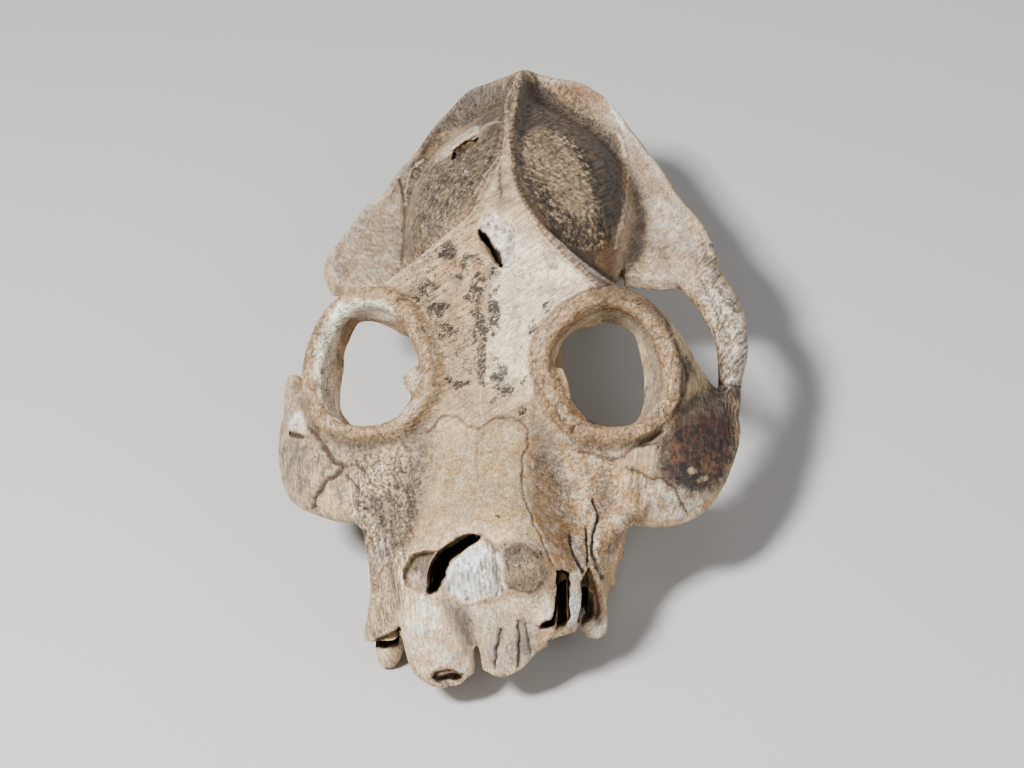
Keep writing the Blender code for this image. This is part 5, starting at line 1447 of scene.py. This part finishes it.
# Patches of other colours strewn over areas: the outline, its softness, and for each colour its share, the
# size of its patches in mm and how bare of them the area stays
STREWN = (
    (LEFT_VAULT, 5, (BONE, 0.75, 1.6, 0.35), (CHAR, 0.75, 1.3, 0.15), (YELLOW, 0.6, 4.0, 0.0)),
    (RIGHT_VAULT, 5, (CREAM, 0.75, 1.5, 0.25), (BLACK, 0.5, 1.4, 0.35)),
    (
        ((280, 440), (345, 440), (345, 515), (300, 512), (282, 480)), 7,
        (CREAM, 0.8, 2.2, 0.10), (SLATE, 0.7, 1.8, 0.35),
    ),
    (((340, 430), (440, 425), (430, 520), (405, 620), (370, 640), (352, 520)), 7, (CREAM, 0.7, 2.0, 0.15)),
    (((340, 440), (430, 440), (415, 520), (400, 600), (370, 640), (352, 520)), 7, (CHAR, 0.7, 1.3, 0.35)),
    (((525, 430), (640, 450), (650, 520), (600, 560), (545, 560)), 8, (BONE, 0.5, 2.5, 0.20)),
    (((525, 430), (640, 450), (650, 520), (600, 600), (545, 560)), 8, (ORANGE, 0.5, 4.0, 0.15)),
    (
        ((340, 210), (400, 170), (402, 290), (350, 292), (333, 270)), 7,
        (BONE, 0.5, 2.6, 0.25), (FAWN, 0.6, 3.0, 0.20),
    ),
    (
        ((630, 195), (690, 220), (712, 262), (700, 290), (628, 288)), 7,
        (BONE, 0.5, 2.6, 0.30), (FAWN, 0.6, 3.0, 0.15),
    ),
    (((700, 270), (735, 300), (748, 350), (744, 378), (720, 378)), 6, (WHITE, 0.4, 1.8, 0.25)),
    (
        ((436, 432), (530, 430), (545, 550), (480, 533), (418, 552)), 7,
        (ORANGE, 0.3, 5.0, 0.15), (BONE, 0.3, 3.5, 0.20),
    ),
    (
        ((402, 600), (436, 604), (460, 645), (468, 676), (424, 676), (400, 625)), 5,
        (WHITE, 0.4, 2.4, 0.10), (ORANGE, 0.45, 3.0, 0.10),
    ),
    (((440, 250), (478, 235), (490, 300), (470, 330), (440, 310)), 6, (ORANGE, 0.5, 5.0, 0.10)),
    (((500, 290), (560, 285), (530, 365), (495, 390)), 6, (BONE, 0.4, 5.0, 0.0)),
    (((664, 440), (700, 424), (732, 440), (728, 470), (700, 488), (664, 478)), 4, (BLACK, 0.8, 1.6, 0.15)),
    (
        ((640, 480), (700, 494), (706, 505), (668, 520), (645, 500)), 4,
        (SLATE, 0.6, 1.2, 0.25), (WHITE, 0.4, 2.0, 0.15),
    ),
)
# Where the bone's fibres show: how much, softness and outline
FIBROUS = (
    (1.0, 8, LEFT_FACE),
    (1.0, 5, ((700, 236), (735, 300), (748, 350), (740, 445), (716, 440), (712, 380), (700, 300))),
    (0.9, 8, ((500, 80), (560, 80), (620, 150), (622, 210), (600, 250), (596, 180), (540, 130), (514, 150))),
    (0.8, 8, ((405, 175), (450, 100), (498, 85), (496, 120), (440, 142), (414, 200))),
    (0.7, 8, ((560, 440), (640, 470), (650, 510), (606, 560), (600, 600), (560, 560))),
    (0.8, 6, ((366, 560), (398, 540), (404, 600), (372, 645), (364, 610))),
)
# Hollows, and swellings with a minus: depth in mm, centre, half width, half height, turn and softness
DIPS = (
    (3.6, 553, 482, 19, 50, -18, 0.9), (3.0, 412, 488, 16, 52, 12, 0.9), (-1.6, 478, 475, 34, 62, 0, 0.9),
    (1.2, 520, 610, 30, 14, 10, 0.9), (1.4, 352, 452, 26, 14, 10, 0.9), (1.6, 606, 500, 12, 34, 8, 0.9),
    (-1.0, 424, 640, 20, 34, -10, 0.9), (1.2, 470, 628, 10, 34, -10, 0.9), (-0.7, 430, 632, 26, 36, -15, 0.7),
    (0.8, 461, 622, 8, 30, -25, 0.8),
)
# Sunk and raised patches: depth in mm, softness and outline
PATCHES = ((2.2, 1.5, LOBE_HOLLOW), (-1.6, 10.0, RIGHT_BULB), (-0.5, 1.2, BACK_PLATE), (0.3, 0.8, BROW_PATCH))
# Drawn-out strands: direction in degrees, width and length in pixels, and seed
FACE_STRANDS = (78, 2.4, 42.0, 7)
NOSE_STRANDS = (86, 2.4, 16.0, 4)


def kept_open(skin):
    """1 where creases are rounded out, 0 at the gaps and breaks that stay sharp."""
    share = np.ones(len(skin.points))
    for x, y, z, reach in OPEN_PLACES:
        away = np.linalg.norm(skin.points - (x, y, z), axis=1)
        share = np.minimum(share, step(reach * 0.7, reach * 1.3, away))
    return share


def near_path(points, path):
    """Distance in millimetres from each point to a path in the skull's frame."""
    return np.min([np.linalg.norm(points - place, axis=1) for place in np.array(path)], axis=0)


def rings(points):
    """1 on the round rims of the orbits."""
    around = np.arange(0, 360, 6.0)
    return step(4.2, 3.0, near_path(points, np.concatenate([rim(side, around) for side in (1, -1)])))


def beads(marks, path, side, width):
    """Small knobs in a row along one side of a line."""
    off, where, along = marks.apart(path)
    band = step(width + 1, width - 1, off) * (where * side > 0) * marks.seen
    return band, band * (0.5 + 0.5 * np.sin(along * 1.35 + 2.0 * np.sin(along * 0.37)))


def shape_detail(skin, marks):
    """Breaks, grain and sutures pressed into the skin."""
    p = skin.points
    rough = layered(p, 1.3, 2, 3)
    white = marks.area(WHITE_BONE, 1.5)
    upper = step(602, 566, marks.y)
    sink = 2.2 * marks.area(NOSE_RIM, 2.5) * upper
    sink += 1.0 * marks.area(LEFT_BULB, 5.0) * upper
    sink += white * (0.6 + 0.4 * marks.bundle(*NOSE_STRANDS) + 0.15 * rough)
    for depth, *oval in DIPS:
        sink += depth * marks.spot(*oval)
    for depth, soft, outline in PATCHES:
        sink += depth * marks.area(outline, soft)
    for depth, outline in GAPS:
        sink += depth * marks.area(outline, 1.0)
    sink -= 0.5 * marks.area(ROOF_PLATE, 1.2) * (1 + rough)
    skin.points = skin.points - photo_axes()[2] * sink[:, None]
    skin.measure()

    out = 0.14 * layered(p, 9.0, 3, 1) + 0.05 * layered(p, 2.0, 2, 2)
    for width, depth, dark, path in SEAMS:
        out -= depth * marks.stroke(path, width)
    for width, height, path in RIDGES:
        out += height * marks.stroke(path, width)
    for path, side in ((TEMPORAL_RIGHT, -1), (TEMPORAL_LEFT, 1)):
        band, knobs = beads(marks, path, side, 7)
        out += 0.25 * knobs - 0.30 * band
    ring = rings(p)
    out += ring * 0.10 * layered(p, 1.6, 2, 6)
    out += 0.36 * marks.area(LEFT_FACE, 8) * marks.bundle(*FACE_STRANDS)
    eaten = marks.area(LEFT_VAULT, 6) + marks.area(RIGHT_VAULT, 6)
    out -= 0.35 * eaten * step(-0.1, 0.5, layered(p, 2.6, 3, 8))
    skin.push(out)
    return ring


def on_crowns(points):
    """1 on the crowns of the cheek teeth."""
    x, y, z = points.T
    return step(7.5, 5.5, z) * (np.abs(np.abs(x) - 24) < 9) * (y < 16) * (y > -44)


def colours(skin, marks, ring):
    """Colour, with painted shade and painted light in it, density of black specks and of fibres at each
    point.
    """
    p = skin.points
    broad, mid, fine = layered(p, 20.0, 3, 41), layered(p, 6.0, 3, 42), layered(p, 2.0, 3, 43)
    tone = mix(np.tile(CREAM, (len(p), 1)), FAWN, step(-0.5, 0.6, broad))
    tone = mix(tone, ASH, 0.7 * step(0.0, 0.8, mid))
    speck = PLAIN_SPECK + 0.3 * step(0.0, 0.9, mid)
    for colour, share, soft, density, outline in STAINS:
        mask = marks.area(outline, soft)
        ragged = np.clip(mask * (1 + 0.9 * mid * (mask < 0.98) * (soft > 2)), 0, 1)
        tone = mix(tone, colour, share * ragged)
        if density is not None:
            speck = speck + (density - speck) * mask
    seed = STREWN_SEED
    for outline, soft, *patches in STREWN:
        mask = marks.area(outline, soft)
        at = np.flatnonzero(mask)
        for colour, share, size, bare in patches:
            here = step(bare - 0.15, bare + 0.25, layered(p[at], size, 3, seed) + 0.25)
            tone[at] = mix(tone[at], colour, share * here * mask[at])
            seed += 1
    tone = tone * (1 + 0.12 * fine + 0.10 * layered(p, 0.9, 1, 45))[:, None]

    strands = marks.area(LEFT_FACE, 8) * marks.bundle(*FACE_STRANDS)
    tone = mix(tone, CHAR, 0.85 * step(0.10, 0.40, strands))
    tone = mix(tone, PALE, 0.70 * step(-0.12, -0.45, strands))
    strands = marks.area(WHITE_BONE, 2) * marks.bundle(*NOSE_STRANDS)
    tone = mix(tone, GREY, 0.55 * step(0.10, 0.50, strands))
    # Painted light: the front of the snout made up to 22 percent lighter towards its tip
    tone = tone * (1 + 0.22 * step(-52, -62, p[:, 1]))[:, None]

    for x, y, long, wide, turn in CLUSTERS:
        spot = marks.spot(x, y, long * 1.6, wide * 2.0, turn, 0.95)
        speck = np.maximum(speck, np.clip(0.76 * spot * (1 + 0.6 * mid + 0.6 * fine), 0, 0.84))
    fibre = np.full(len(p), PLAIN_FIBRE)
    for share, soft, outline in FIBROUS:
        mask = marks.area(outline, soft)
        fibre = fibre + (share - fibre) * mask

    tone = mix(tone, RING, 0.8 * ring)
    tone = mix(tone, ORANGE, 0.35 * ring * step(0.0, 0.6, mid))
    tone = mix(tone, BROWN, 0.40 * ring * step(0.1, 0.6, layered(p, 1.1, 3, 46)))
    tone = mix(tone, BONE, 0.45 * ring * step(0.1, 0.5, layered(p, 1.0, 3, 44)))
    speck = speck + (0.50 - speck) * ring

    for colour, share, soft, outline in SHADES:
        tone = mix(tone, colour, share * marks.area(outline, soft))
    for path, side in ((TEMPORAL_RIGHT, -1), (TEMPORAL_LEFT, 1)):
        band, knobs = beads(marks, path, side, 6)
        tone = mix(tone, RUST, 0.65 * band)
        tone = mix(tone, CREAM, 0.6 * knobs * knobs)
    for width, depth, dark, path in SEAMS:
        tone = mix(tone, BROWN, 0.35 * dark * marks.stroke(path, width * 2.5, 2.0))
        tone = mix(tone, BLACK, 0.9 * dark * marks.stroke(path, width * 0.7, 0.7))
    for width, height, path in RIDGES:
        tone = mix(tone, BROWN, 0.35 * marks.stroke(path, width * 2.0, 1.5))
        tone = mix(tone, BONE, 0.7 * marks.stroke(path, width * 0.9, 0.8))
    # Painted shadow: each gap painted black
    for depth, outline in GAPS:
        tone = mix(tone, BLACK, marks.area(outline, 0.8))
    tone = mix(tone, BROWN, marks.spot(498, 516, 2.2, 1.8, 0, 0.4))

    # Painted shade in the broad hollows, standing also for dirt there, and painted light on the broad rises
    wide = skin.ridge(HOLLOW_SHADE_REACH)
    tone = mix(tone, HOLLOW_SHADE_AND_DIRT, 0.70 * step(-0.03, -0.8, wide))
    tone = tone * (1 + 0.18 * step(0.1, 0.9, wide))[:, None]
    # Darker in the fine creases and paler on the fine edges
    ridge = skin.ridge(FINE_CREASE_REACH)
    tone = mix(tone, BROWN, step(-0.03, -0.22, ridge) * 0.65)
    tone = mix(tone, BONE, step(0.04, 0.22, ridge) * 0.35)
    tone = mix(tone, TEETH, 0.8 * on_crowns(p) * (1 - marks.seen))
    return np.clip(tone, 0.008, 0.9), np.clip(speck, 0, 1), np.clip(fibre, 0, 1)


skin = Skin(*melted_skull())
skin.points = skin.spread(skin.points, 2, 0.6)
skin.measure()
skin.fill(*FILLETS, kept_open(skin))
marks = Marks(skin)
ring = shape_detail(skin, marks)
build_pieces(skin, *colours(skin, marks, ring))
studio()
